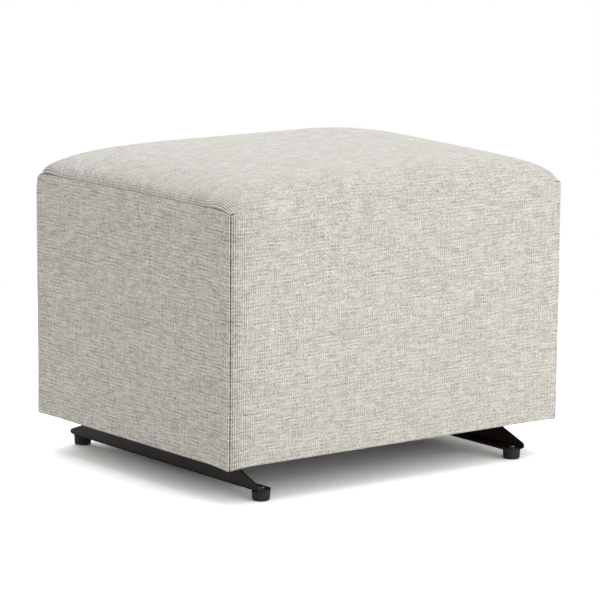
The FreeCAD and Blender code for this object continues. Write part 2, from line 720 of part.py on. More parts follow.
def foot():
    """The right-hand back foot: a rubber disc, slightly tapered, with a rounded lower edge."""
    radius = FOOT_DIAMETER / 2
    low = radius - FOOT_TAPER
    disc = Part.makeCone(low, radius, FOOT_HEIGHT, Vector(foot_x, foot_y, 0))
    edges = [e for e in disc.Edges if abs(e.BoundBox.ZMax) < 1e-6 and abs(e.BoundBox.ZMin) < 1e-6]
    disc = disc.makeFillet(min(FOOT_EDGE_RADIUS, FOOT_HEIGHT / 3), edges)
    bore_bottom = FOOT_HEIGHT - FOOT_SCREW_DEPTH
    return disc.cut(post(foot_x, foot_y, bore_bottom, FOOT_HEIGHT + 1, FOOT_SCREW_DIAMETER))


def foot_screw():
    """A pan-head screw with a cross slot, down through the ear into the foot."""
    seat = FOOT_HEIGHT + STEEL
    radius = FOOT_SCREW_HEAD / 2
    head = Part.makeCylinder(radius, FOOT_SCREW_HEAD_HEIGHT, Vector(foot_x, foot_y, seat))
    rim = [e for e in head.Edges if abs(e.BoundBox.ZMin - seat - FOOT_SCREW_HEAD_HEIGHT) < 1e-6]
    head = head.makeFillet(FOOT_SCREW_CROWN, rim)
    shank = post(foot_x, foot_y, FOOT_HEIGHT - FOOT_SCREW_DEPTH, seat, FOOT_SCREW_DIAMETER)
    screw = head.fuse(shank)
    half = FOOT_SCREW_SLOT_LENGTH / 2
    width = FOOT_SCREW_SLOT_WIDTH / 2
    top = seat + FOOT_SCREW_HEAD_HEIGHT
    floor = top - FOOT_SCREW_SLOT_DEPTH
    screw = screw.cut(box(foot_x - half, foot_x + half, foot_y - width, foot_y + width, floor, top + 1))
    return screw.cut(box(foot_x - width, foot_x + width, foot_y - half, foot_y + half, floor, top + 1))


def steel_base():
    pieces = {}
    for name, side in SIDES.items():
        pieces["base_side_" + name] = mirrored(base_side(), side)
    for end, sign in ENDS.items():
        pieces["cross_bar_" + end] = cross_bar(sign)
    bolts = [solid for y in cross_bolt_places() for solid in cross_bolt(y)]
    pieces["cross_bar_bolts"] = group([mirrored(b, side) for side in SIDES.values() for b in bolts])
    pieces.update(pivot_nodes("upper_pivot", upper_pivot))
    bumpers = [stop_bumper(sign) for sign in ENDS.values()]
    pieces["stop_bumpers"] = group([mirrored(b, side) for side in SIDES.values() for b in bumpers])
    screws = []
    across = Vector(0, 1, 0)
    for end, sy in ENDS.items():
        for side, sx in SIDES.items():
            rubber = foot() if sy > 0 else foot().mirror(Vector(0, 0, 0), across)
            screw = foot_screw() if sy > 0 else foot_screw().mirror(Vector(0, 0, 0), across)
            pieces["foot_" + end + "_" + side] = mirrored(rubber, sx)
            screws.append(mirrored(screw, sx))
    pieces["foot_screws"] = group(screws)
    return pieces


def main():
    os.makedirs("parts", exist_ok=True)
    staples = group(hem_staples())
    pieces = {name: piece.cut(staples) for name, piece in cover_pieces().items()}
    pieces["hem_staples"] = staples
    for made in (top_padding(), wooden_frame(staples), hangers(), swing_links(), steel_base()):
        pieces.update(made)
    for name, shape in sorted(pieces.items()):
        shape.exportStep("parts/" + name + ".step")
        state = "valid" if shape.isValid() else "INVALID"
        print(name, len(shape.Solids), round(shape.Volume / 1000, 1), "cm3", state)
    print(len(pieces), "nodes")


main()
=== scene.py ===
# %% [markdown]
# The gliding footstool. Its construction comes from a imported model, which is loaded first and never moved.
# What this script adds is the look: the sewn cover and the padding as modelled cloth, a finish for every
# surface, a camera and a plain studio. Everything is in metres. X runs across the width, Y from front to
# back and Z up from the floor.

import json
import math

import bmesh
import bpy
import numpy as np
from mathutils import Matrix, Vector


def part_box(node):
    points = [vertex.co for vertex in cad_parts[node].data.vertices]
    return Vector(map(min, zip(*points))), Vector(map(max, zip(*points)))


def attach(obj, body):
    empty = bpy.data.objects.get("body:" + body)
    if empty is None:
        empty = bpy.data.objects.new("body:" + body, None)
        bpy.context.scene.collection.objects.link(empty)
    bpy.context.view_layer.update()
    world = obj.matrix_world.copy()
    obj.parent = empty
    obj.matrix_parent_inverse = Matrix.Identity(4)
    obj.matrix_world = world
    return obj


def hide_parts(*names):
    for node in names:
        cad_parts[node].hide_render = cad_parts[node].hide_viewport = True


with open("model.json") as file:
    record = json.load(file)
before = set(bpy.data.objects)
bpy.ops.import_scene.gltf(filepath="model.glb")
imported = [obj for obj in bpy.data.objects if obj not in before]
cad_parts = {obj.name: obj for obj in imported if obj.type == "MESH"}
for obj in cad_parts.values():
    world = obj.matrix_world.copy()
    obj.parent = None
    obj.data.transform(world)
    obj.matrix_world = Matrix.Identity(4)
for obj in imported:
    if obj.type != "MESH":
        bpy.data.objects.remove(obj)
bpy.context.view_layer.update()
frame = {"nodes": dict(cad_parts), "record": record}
nodes = frame["nodes"]
scene = bpy.context.scene

# %% [markdown]
# The camera stands where the photographer stood: low, about five metres off, with a long lens. It looks past
# the near corner, so that the wide front lies to the right and the narrow side to the left. It is rolled by
# under a degree. The two small offsets slide the picture without turning it, and are kept as a place in
# space rather than as a lens shift, so that other views stay centred.

# %% Camera
AZIMUTH = math.radians(-38.255)
ELEVATION = math.radians(9.978)
ROLL = math.radians(0.819)
DISTANCE = 4.8329
AIM = Vector((0.0, 0.0, 0.21545))
SLIDE_RIGHT = 0.00302
SLIDE_UP = 0.00908
LENS = 199.2
SENSOR_WIDTH = 36.0

look_back = Vector((math.sin(AZIMUTH) * math.cos(ELEVATION),
                    -math.cos(AZIMUTH) * math.cos(ELEVATION), math.sin(ELEVATION)))
level_right = Vector((math.cos(AZIMUTH), math.sin(AZIMUTH), 0.0))
level_up = look_back.cross(level_right)
right = level_right * math.cos(ROLL) + level_up * math.sin(ROLL)
up = level_up * math.cos(ROLL) - level_right * math.sin(ROLL)

lens = bpy.data.cameras.new("camera")
lens.lens = LENS
lens.sensor_width = SENSOR_WIDTH
camera = bpy.data.objects.new("camera", lens)
scene.collection.objects.link(camera)
camera.matrix_world = Matrix((right, up, look_back)).transposed().to_4x4()
camera.location = AIM + look_back * DISTANCE + right * SLIDE_RIGHT + up * SLIDE_UP
scene.camera = camera
print("camera at", [round(c, 3) for c in camera.location])

# %% [markdown]
# A finish is a tree of nodes. A few small helpers keep those trees short to write: one adds a node and sets
# its values, two add a piece of arithmetic or stretch a value, one mixes colours, and one opens a group with
# named sockets. A group is built once and then placed in several materials, each with its own numbers.

# %% Helpers for node trees
def add(tree, kind, values=None, **settings):
    """A new node. settings are its own properties, and values go to its input sockets by name or number."""
    node = tree.nodes.new(kind)
    for name, value in settings.items():
        setattr(node, name, value)
    for socket, value in (values or {}).items():
        if isinstance(value, bpy.types.NodeSocket):
            tree.links.new(value, node.inputs[socket])
        else:
            node.inputs[socket].default_value = value
    return node


def sums(tree, operation, *values):
    """One Math node and its result."""
    return add(tree, "ShaderNodeMath", dict(enumerate(values)), operation=operation).outputs[0]


def ranged(tree, value, low, high, to_low=0.0, to_high=1.0):
    """A value stretched from one range to another, held at the ends."""
    node = add(tree, "ShaderNodeMapRange", {"Value": value, "From Min": low, "From Max": high,
                                            "To Min": to_low, "To Max": to_high})
    return node.outputs[0]


def mixed(tree, share, first, second):
    """Two colours mixed by a share."""
    node = add(tree, "ShaderNodeMix", {"Factor": share}, data_type="RGBA")
    for socket, value in (("A", first), ("B", second)):
        target = [s for s in node.inputs if s.name == socket and s.type == "RGBA"][0]
        if isinstance(value, bpy.types.NodeSocket):
            tree.links.new(value, target)
        else:
            target.default_value = value
    return [s for s in node.outputs if s.type == "RGBA"][0]


def open_group(name, inputs, outputs):
    """A new shader node group: inputs as {name: default} or {name: kind}, and outputs as {name: kind}."""
    kinds = {"vector": "NodeSocketVector", "color": "NodeSocketColor", "value": "NodeSocketFloat"}
    tree = bpy.data.node_groups.new(name, "ShaderNodeTree")
    for label, value in inputs.items():
        kind = kinds[value] if isinstance(value, str) else kinds["value"]
        socket = tree.interface.new_socket(name=label, in_out="INPUT", socket_type=kind)
        if not isinstance(value, str):
            socket.default_value = value
    for label, kind in outputs.items():
        tree.interface.new_socket(name=label, in_out="OUTPUT", socket_type=kinds[kind])
    return tree, tree.nodes.new("NodeGroupInput").outputs, tree.nodes.new("NodeGroupOutput").inputs


def place_group(tree, group, values):
    """A copy of a group in a material, and its outputs."""
    return add(tree, "ShaderNodeGroup", values, node_tree=group).outputs


def srgb(red, green, blue):
    """A colour written as on a screen, 0 to 255, as the light values that a shader takes."""
    parts = [c / 255 for c in (red, green, blue)]
    return tuple(c / 12.92 if c < 0.04045 else ((c + 0.055) / 1.055) ** 2.4 for c in parts) + (1.0,)


# %% [markdown]
# The studio is plain and white. The world gives an even fill, like the white boards round a shop photograph.
# A picture of a room would light it too, but would colour it. To the camera and in reflections the world has
# a strength of 1, which is white, while less of it falls on the footstool.

# %% World
FILL = 0.575
view_white = srgb(255, 255, 255)

world = bpy.data.worlds.new("studio")
scene.world = world
world.use_nodes = True
sky = world.node_tree
sky.nodes.clear()
path = add(sky, "ShaderNodeLightPath").outputs
through = sums(sky, "MAXIMUM", path["Is Glossy Ray"], path["Is Transmission Ray"])
seen = sums(sky, "MAXIMUM", path["Is Camera Ray"], through)
strength = ranged(sky, seen, 0.0, 1.0, FILL, 1.0)
background = add(sky, "ShaderNodeBackground", {"Color": view_white, "Strength": strength})
add(sky, "ShaderNodeOutputWorld", {"Surface": background.outputs[0]})
scene.view_settings.view_transform = "Standard"
print("world fill:", FILL)

# %% [markdown]
# Two broad lamps hang overhead, a little cooler than the rest, and two stand in front and to the front right,
# so the left side stays the darkest. Small lamps would be simpler, but they throw hard shadows under the
# body, where the photograph has soft ones.

# %% Lamps
OVERHEAD_SIZE = 1.8
FRONT_SIZE = 1.6
cool_white = (0.90, 0.955, 1.0, 1.0)


def softbox(name, place, size, watts, tint):
    """A broad square lamp that faces the footstool."""
    lamp = bpy.data.lights.new(name, "AREA")
    lamp.shape = "SQUARE"
    lamp.size = size
    lamp.energy = watts
    lamp.color = tint[:3]
    lamp_object = bpy.data.objects.new(name, lamp)
    scene.collection.objects.link(lamp_object)
    lamp_object.location = place
    lamp_object.rotation_mode = "QUATERNION"
    lamp_object.rotation_quaternion = (Vector(place) - AIM).to_track_quat("Z", "Y")
    lamp_object.visible_camera = False


softbox("lamp_overhead", (0.0, 0.0, 2.6), OVERHEAD_SIZE, 13.3, cool_white)
softbox("lamp_overhead_back", (0.6, 1.6, 2.2), OVERHEAD_SIZE, 21.0, cool_white)
softbox("lamp_front", (0.0, -2.74, 0.78), FRONT_SIZE, 13.6, view_white)
softbox("lamp_front_right", (1.76, -2.10, 0.78), FRONT_SIZE, 11.9, view_white)
print("lamps:", len(bpy.data.lights))

# %% [markdown]
# The floor is a real surface that takes the shadow. Seen directly it is lifted to white, and towards its rim
# it fades to the white of the world, so that no horizon shows. From below it is clear, so that the mechanism
# can be looked at.

# %% Floor
FLOOR_RADIUS = 6.0
FLOOR_LIFT = 1.9
FLOOR_FADE_FROM = 0.8
FLOOR_FADE_TO = 1.5
floor_paint = srgb(235, 235, 235)
lifted_paint = (FLOOR_LIFT, FLOOR_LIFT, FLOOR_LIFT, 1.0)

floor_mesh = bpy.data.meshes.new("studio_floor")
bm = bmesh.new()
bmesh.ops.create_circle(bm, cap_ends=True, segments=96, radius=FLOOR_RADIUS)
bm.to_mesh(floor_mesh)
bm.free()
floor = bpy.data.objects.new("studio_floor", floor_mesh)
scene.collection.objects.link(floor)

paint = bpy.data.materials.new("studio_floor")
paint.use_nodes = True
tree = paint.node_tree
tree.nodes.clear()
from_centre = add(tree, "ShaderNodeTexCoord").outputs["Object"]
far = add(tree, "ShaderNodeVectorMath", {0: from_centre}, operation="LENGTH").outputs["Value"]
path = add(tree, "ShaderNodeLightPath").outputs
lifted = mixed(tree, path["Is Camera Ray"], floor_paint, lifted_paint)
matt = add(tree, "ShaderNodeBsdfDiffuse", {"Color": lifted}).outputs[0]
glow = add(tree, "ShaderNodeEmission", {"Color": view_white, "Strength": 1.0}).outputs[0]
fade = sums(tree, "MULTIPLY", ranged(tree, far, FLOOR_FADE_FROM, FLOOR_FADE_TO), path["Is Camera Ray"])
surface = add(tree, "ShaderNodeMixShader", {0: fade, 1: matt, 2: glow}).outputs[0]
backfacing = add(tree, "ShaderNodeNewGeometry").outputs["Backfacing"]
underneath = sums(tree, "MULTIPLY", backfacing, path["Is Camera Ray"])
clear = add(tree, "ShaderNodeBsdfTransparent").outputs[0]
surface = add(tree, "ShaderNodeMixShader", {0: underneath, 1: surface, 2: clear}).outputs[0]
add(tree, "ShaderNodeOutputMaterial", {"Surface": surface})
floor.data.materials.append(paint)
print("floor radius:", FLOOR_RADIUS)

# %% [markdown]
# The cloth is a heavy plain weave in undyed linen tones. Fine ribs run up the walls and over the top. The
# cross threads are uneven: thick and thin, pale and dark, in dashes one or two centimetres long. A picture of
# cloth would be quicker, but it would blur close up and stretch over the roll. So the weave is worked out
# from the place of each point in the flat cloth, which every panel keeps as a UV map in metres.
#
# Each thread has a number, the whole part of the place divided by the pitch. A noise that is read at that
# number, and stretched along the thread, gives every thread its own run of light and dark. Every second cross
# thread is a little darker, because the weft is laid in pairs. A slow noise makes the cross threads sway.

# %% The threads
RIB_PITCH = 0.0041
CROSS_PITCH = 0.0024
SWAY = 0.0045
SWAY_SCALE = 24.0
SLUB = {"scale": 46.0, "step": 7.31, "detail": 0.5}
KNOT = {"scale": 640.0, "step": 3.77, "detail": 0.0}
RIB_RUN = {"scale": 26.0, "step": 6.13, "detail": 2.0}
FLECK = {"scale": 38.0, "step": 9.17, "detail": 1.0}
SLUB_SHARE = 0.72
KNOT_SHARE = 1.55
RIB_SHARE = 0.35
PAIR_SHARE = 0.08
RIB_WAVE = 0.12


def thread_run(group, place, thread, scale, step, detail):
    """Light and dark, around 0, that runs along each thread. scale is how fast it changes along the thread,
    and step how far apart in the noise two threads are read."""
    at = add(group, "ShaderNodeCombineXYZ", {0: sums(group, "MULTIPLY", place, scale),
                                             1: sums(group, "MULTIPLY", thread, step)}).outputs[0]
    noise = add(group, "ShaderNodeTexNoise", {"Vector": at, "Scale": 1.0, "Detail": detail},
                noise_dimensions="2D")
    return sums(group, "SUBTRACT", noise.outputs[0], 0.5)


def rib_wave(group, rib_place):
    """A wave across the ribs: 1 on the middle of each, and -1 between two of them."""
    turns = sums(group, "MULTIPLY", sums(group, "ADD", rib_place, 0.5), 2.0 * math.pi)
    return sums(group, "COSINE", turns)


def thread_tone(group, spot, rib_place, cross_place, wave):
    """The light and dark of all threads together, then the slubs' part of it, and the run of the flecks."""
    cross = sums(group, "FLOOR", cross_place)
    slub = thread_run(group, spot[0], cross, **SLUB)
    strand = sums(group, "FLOOR", sums(group, "MULTIPLY", cross_place, 2.0))
    knot = thread_run(group, spot[0], strand, **KNOT)
    rib_run = thread_run(group, spot[1], sums(group, "FLOOR", rib_place), **RIB_RUN)
    pair = sums(group, "SUBTRACT", sums(group, "FLOORED_MODULO", cross, 2.0), 0.5)
    tone = 0.0
    for run, share in ((slub, SLUB_SHARE), (knot, KNOT_SHARE), (rib_run, RIB_SHARE),
                       (pair, 2.0 * PAIR_SHARE), (wave, RIB_WAVE)):
        tone = sums(group, "ADD", tone, sums(group, "MULTIPLY", run, share))
    return tone, slub, thread_run(group, spot[0], cross, **FLECK)


# %% [markdown]
# Beside a seam the cloth is pulled tight: the ribs stand out one by one, and the gaps between them lie in
# shade. They stand out most where they fan over the roll. The last millimetre turns down into the seam,
# where less light reaches, and at each top corner a short tuck has a shaded crease. The mesh is too coarse
# for such fine shadows, so the weave paints them into the colour of the cloth as painted shade, by the
# distance from the edges of the cloth.

# %% The pull of the seams
EDGE_REACH = 0.021
PULL_FROM, PULL_TO, PULL_ON_CROWN = -0.080, -0.015, 0.25
FAN_END = 0.003
FAN_RIB_SHADING = 1.9
SEAM_LINE = 0.0010
SEAM_SHADE = 0.50
TOP_SEAM_SHADE = 0.30
TOP_SEAM_BLEND = 0.004
TUCK_LENGTH = 0.0150
TUCK_RISE = 0.15
TUCK_ABOVE = 0.0012
TUCK_LINE = 0.0011


def from_edges(group, spot, given):
    """How far a spot is from the far edge of its cloth, and how far down a wall, which is less than 0 on
    the top."""
    far = sums(group, "SUBTRACT", given["Cloth width"], spot[0])
    half_height = sums(group, "MULTIPLY", given["Cloth height"], 0.5)
    from_middle = sums(group, "ABSOLUTE", sums(group, "SUBTRACT", spot[1], half_height))
    return far, sums(group, "SUBTRACT", from_middle, sums(group, "MULTIPLY", given["Over top"], 0.5))


def painted_pull_shade(group, spot, far, past_top, wave, given):
    """The pull of the seams as painted shade: ribs lit and shaded, and dark gaps between them."""
    def near(distance):
        """1 on a seam and less and less away from it."""
        return sums(group, "EXPONENT", sums(group, "DIVIDE", distance, -EDGE_REACH))

    pulled = sums(group, "ADD", near(spot[0]), sums(group, "MULTIPLY", near(far), given["Far edge"]))
    pulled = sums(group, "MULTIPLY", pulled,
                  ranged(group, past_top, PULL_FROM, PULL_TO, PULL_ON_CROWN, 1.0))
    # Painted shade: beside a seam the ribs are lit and shaded in the colour, and the gaps between them
    # darkened.
    ribs = sums(group, "MULTIPLY", given["Edge rib shading"], ranged(group, past_top, 0.0, FAN_END, FAN_RIB_SHADING, 1.0))
    edge = sums(group, "SUBTRACT", sums(group, "MULTIPLY", wave, ribs), given["Edge shade"])
    return sums(group, "MULTIPLY", edge, pulled)


def seam_shadow(group, spot, far, past_top, given):
    """The share of painted shadow in the groove of a seam and in the crease of a tuck."""
    border = sums(group, "MINIMUM", spot[0], far)
    groove = sums(group, "MULTIPLY", ranged(group, border, SEAM_LINE / 4, SEAM_LINE, SEAM_SHADE, 0.0),
                  ranged(group, past_top, -TOP_SEAM_BLEND, 0.0, TOP_SEAM_SHADE, 1.0))
    rise = sums(group, "ADD", sums(group, "MULTIPLY", border, TUCK_RISE), TUCK_ABOVE)
    off_crease = sums(group, "DIVIDE", sums(group, "ADD", past_top, rise), TUCK_LINE)
    crease = sums(group, "EXPONENT", sums(group, "MULTIPLY", sums(group, "POWER", off_crease, 2.0), -1.0))
    tuck_shade = sums(group, "MULTIPLY", sums(group, "MULTIPLY", crease, given["Tuck shade"]),
                ranged(group, border, TUCK_LENGTH / 2, TUCK_LENGTH, 1.0, 0.0))
    return sums(group, "MAXIMUM", groove, tuck_shade)


# %% [markdown]
# Threads and seams come together in one node group. It puts out a colour and a height, and the height makes
# each thread round in the light. Where the cloth faces up, the tone of the threads is made softer.

# %% The weave as a node group
FACING_UP_FROM, FACING_UP_TO, FACING_UP_TONE = 0.2, 0.9, 0.84
TONE_DARKEST, TONE_PALEST = -1.20, 0.50
FLECK_FROM, FLECK_TO, FLECK_SHARE = 0.10, 0.22, 0.35
SLUB_RANGE = 0.2
THINNEST = 0.6


def round_thread(group, place):
    """The round top of a thread: 0 at its edges, 1 on its middle."""
    return sums(group, "ABSOLUTE", sums(group, "SINE", sums(group, "MULTIPLY", place, math.pi)))


def build_weave():
    group, given, made = open_group(
        "uneven_weave",
        {"Place": "vector", "Cloth width": 0.6, "Cloth height": 1.2, "Over top": 0.5, "Edge rib shading": 0.2,
         "Edge shade": 0.3, "Far edge": 0.3, "Tuck shade": 0.0, "Contrast": 1.0,
         "Facing up": 0.0, "Pale": "color", "Dark": "color", "Fleck": "color", "Seam": "color"},
        {"Color": "color", "Height": "value"})
    spot = add(group, "ShaderNodeSeparateXYZ", {0: given["Place"]}).outputs
    wander = add(group, "ShaderNodeTexNoise", {"Vector": given["Place"], "Scale": SWAY_SCALE, "Detail": 1.0})
    sway = sums(group, "MULTIPLY", sums(group, "SUBTRACT", wander.outputs[0], 0.5), SWAY)
    rib_place = sums(group, "DIVIDE", spot[0], RIB_PITCH)
    cross_place = sums(group, "DIVIDE", sums(group, "ADD", spot[1], sway), CROSS_PITCH)
    wave = rib_wave(group, rib_place)
    far, past_top = from_edges(group, spot, given)

    tone, slub, warm = thread_tone(group, spot, rib_place, cross_place, wave)
    tone = sums(group, "MULTIPLY", tone, given["Contrast"])
    tone = sums(group, "ADD", tone, painted_pull_shade(group, spot, far, past_top, wave, given))
    # Softer tone where the cloth faces up, set by the direction of its face.
    facing_up_softening = ranged(group, given["Facing up"], FACING_UP_FROM, FACING_UP_TO, 1.0, FACING_UP_TONE)
    tone = sums(group, "MULTIPLY", tone, facing_up_softening)
    color = mixed(group, ranged(group, tone, TONE_DARKEST, TONE_PALEST), given["Dark"], given["Pale"])
    fleck = sums(group, "MULTIPLY", ranged(group, warm, FLECK_FROM, FLECK_TO), FLECK_SHARE)
    color = mixed(group, fleck, color, given["Fleck"])
    # Painted shadow: the grooves of the seams and the creases of the tucks take the shadow colour.
    color = mixed(group, seam_shadow(group, spot, far, past_top, given), color, given["Seam"])

    thick = ranged(group, slub, -SLUB_RANGE, SLUB_RANGE, THINNEST, 1.0)
    height = sums(group, "ADD", sums(group, "MULTIPLY", round_thread(group, cross_place), thick),
                  round_thread(group, rib_place))
    group.links.new(color, made["Color"])
    group.links.new(height, made["Height"])
    return group


weave = build_weave()
print("weave:", len(weave.nodes), "nodes")

# %% [markdown]
# Both materials of the cover are this one weave. On the long middle piece the painted shade of the ribs and
# the tuck is strong beside the left seam, and faint beside the right one. On the side panels both seams pull
# alike and faintly, and the threads are painted with a little more contrast, the shading that raking light
# gives them.

# %% The cloth
CLOTH_ROUGHNESS = 0.92
CLOTH_SPECULAR = 0.2
CLOTH_SHEEN = 0.1
CLOTH_SHEEN_ROUGHNESS = 0.5
WEAVE_RELIEF = 0.0004
WEAVE_RELIEF_STRENGTH = 0.5


def surface_material(name):
    """An empty material with its shader, ready for its finish."""
    material = bpy.data.materials.new(name)
    material.use_nodes = True
    tree = material.node_tree
    tree.nodes.clear()
    shader = add(tree, "ShaderNodeBsdfPrincipled")
    add(tree, "ShaderNodeOutputMaterial", {"Surface": shader.outputs[0]})
    return material, tree, shader


def bumped(tree, shader, height, distance, strength=1.0):
    """A height map as fine relief."""
    bump = add(tree, "ShaderNodeBump", {"Height": height, "Distance": distance, "Strength": strength})
    tree.links.new(bump.outputs[0], shader.inputs["Normal"])


def cloth_material(name, edge_rib_shading, edge_shade, far_edge, tuck_shade, contrast):
    """The weave on a piece of the cover. far_edge is the share of the pull at its second edge."""
    material, tree, shader = surface_material(name)
    flat = add(tree, "ShaderNodeUVMap", uv_map="weave").outputs[0]
    facing = add(tree, "ShaderNodeTexCoord").outputs["Normal"]
    upward = add(tree, "ShaderNodeSeparateXYZ", {0: facing}).outputs[2]
    # The last colour is the painted shadow in the seams and the tucks.
    made = place_group(tree, weave, {"Place": flat, "Edge rib shading": edge_rib_shading, "Edge shade": edge_shade,
                                     "Far edge": far_edge, "Tuck shade": tuck_shade, "Contrast": contrast,
                                     "Facing up": upward, "Pale": srgb(246, 241, 232), "Dark": srgb(88, 82, 74),
                                     "Fleck": srgb(204, 186, 164), "Seam": srgb(78, 70, 60)})
    tree.links.new(made["Color"], shader.inputs["Base Color"])
    shader.inputs["Roughness"].default_value = CLOTH_ROUGHNESS
    shader.inputs["Specular IOR Level"].default_value = CLOTH_SPECULAR
    shader.inputs["Sheen Weight"].default_value = CLOTH_SHEEN
    shader.inputs["Sheen Roughness"].default_value = CLOTH_SHEEN_ROUGHNESS
    bumped(tree, shader, made["Height"], WEAVE_RELIEF, WEAVE_RELIEF_STRENGTH)
    return material


def fit_weave(cloth, width, height, over_top):
    """Tell the weave how large its panel was cut, so that it finds the seams and the tucks."""
    placed = [node for node in cloth.node_tree.nodes if node.type == "GROUP"][0]
    for socket, value in (("Cloth width", width), ("Cloth height", height), ("Over top", over_top)):
        placed.inputs[socket].default_value = value


# The shade painted beside the seams and in the corner tuck is set per piece here.
linen = cloth_material("greige_linen", edge_rib_shading=0.34, edge_shade=0.40, far_edge=0.1, tuck_shade=1.0, contrast=1.0)
# The side panels' higher contrast is painted shading, as raking light gives the threads.
side_linen = cloth_material("greige_linen_side", edge_rib_shading=0.08, edge_shade=0.10, far_edge=1.0, tuck_shade=0.0,
                            contrast=1.22)
print("cloth:", linen.name, "and", side_linen.name)

# %% [markdown]
# The rest of the footstool is wood, board, steel, nylon, rubber and padding. Most of it is only seen from
# below or in parts, but each has its own finish. Pictures of wood and paint would repeat and stretch on
# shapes as small as these, so two effects are worked out from the place in space and shared: growth rings
# with fine fibres for sawn wood and board, and a fine grit with a slow cloud for everything else.

# %% Shared effects
RING_SHARE = 0.75
GRIT_SHARE = 0.5
NOISE_LOW, NOISE_HIGH = 0.3, 0.7


def build_grain():
    group, given, made = open_group(
        "sawn_grain",
        {"Place": "vector", "Rings": 55.0, "Early": "color", "Late": "color"},
        {"Color": "color", "Height": "value"})
    wander = add(group, "ShaderNodeTexNoise", {"Vector": given["Place"], "Scale": 9.0, "Detail": 2.0})
    bent = add(group, "ShaderNodeVectorMath", {0: wander.outputs["Color"], "Scale": 0.025},
               operation="SCALE").outputs[0]
    spot = add(group, "ShaderNodeVectorMath", {0: given["Place"], 1: bent}, operation="ADD").outputs[0]
    rings = add(group, "ShaderNodeTexWave", {"Vector": spot, "Scale": given["Rings"], "Distortion": 2.2,
                                             "Detail": 2.0}, bands_direction="DIAGONAL")
    fibre = add(group, "ShaderNodeTexNoise", {"Vector": given["Place"], "Scale": 900.0, "Detail": 2.0})
    share = sums(group, "ADD", sums(group, "MULTIPLY", rings.outputs["Fac"], RING_SHARE),
                 sums(group, "MULTIPLY", fibre.outputs[0], 1.0 - RING_SHARE))
    group.links.new(mixed(group, share, given["Early"], given["Late"]), made["Color"])
    group.links.new(fibre.outputs[0], made["Height"])
    return group


def build_grit():
    group, given, made = open_group(
        "grit",
        {"Place": "vector", "Size": 0.0006, "Color low": "color", "Color high": "color"},
        {"Color": "color", "Height": "value", "Roughness": "value"})
    scale = sums(group, "DIVIDE", 1.0, given["Size"])
    grit = add(group, "ShaderNodeTexNoise", {"Vector": given["Place"], "Scale": scale, "Detail": 2.0})
    cloud = add(group, "ShaderNodeTexNoise", {"Vector": given["Place"], "Scale": 18.0, "Detail": 3.0})
    both = sums(group, "ADD", sums(group, "MULTIPLY", grit.outputs[0], GRIT_SHARE),
                sums(group, "MULTIPLY", cloud.outputs[0], 1.0 - GRIT_SHARE))
    share = ranged(group, both, NOISE_LOW, NOISE_HIGH)
    group.links.new(mixed(group, share, given["Color low"], given["Color high"]), made["Color"])
    group.links.new(grit.outputs[0], made["Height"])
    group.links.new(cloud.outputs[0], made["Roughness"])
    return group


grain = build_grain()
grit = build_grit()
print("shared effects:", [group.name for group in (weave, grain, grit)])

# %% Materials from the shared effects
WOOD_ROUGHNESS = 0.7
WOOD_RELIEF = 0.0002


def wood_material(name, early, late, rings, stretch):
    """Sawn wood or board. stretch draws the rings out along the piece."""
    material, tree, shader = surface_material(name)
    place = add(tree, "ShaderNodeTexCoord").outputs["Object"]
    drawn = add(tree, "ShaderNodeMapping", {"Vector": place, "Scale": stretch}).outputs[0]
    made = place_group(tree, grain, {"Place": drawn, "Rings": rings, "Early": early, "Late": late})
    tree.links.new(made["Color"], shader.inputs["Base Color"])
    shader.inputs["Roughness"].default_value = WOOD_ROUGHNESS
    bumped(tree, shader, made["Height"], WOOD_RELIEF)
    return material


def grit_material(name, low, high, size, rough, relief, metallic=0.0, specular=0.5):
    """Painted, plated, moulded or fibrous finish with a fine grit. rough is the least and the most."""
    material, tree, shader = surface_material(name)
    place = add(tree, "ShaderNodeTexCoord").outputs["Object"]
    made = place_group(tree, grit, {"Place": place, "Size": size, "Color low": low, "Color high": high})
    tree.links.new(made["Color"], shader.inputs["Base Color"])
    tree.links.new(ranged(tree, made["Roughness"], NOISE_LOW, NOISE_HIGH, *rough),
                   shader.inputs["Roughness"])
    shader.inputs["Metallic"].default_value = metallic
    shader.inputs["Specular IOR Level"].default_value = specular
    bumped(tree, shader, made["Height"], relief)
    return material


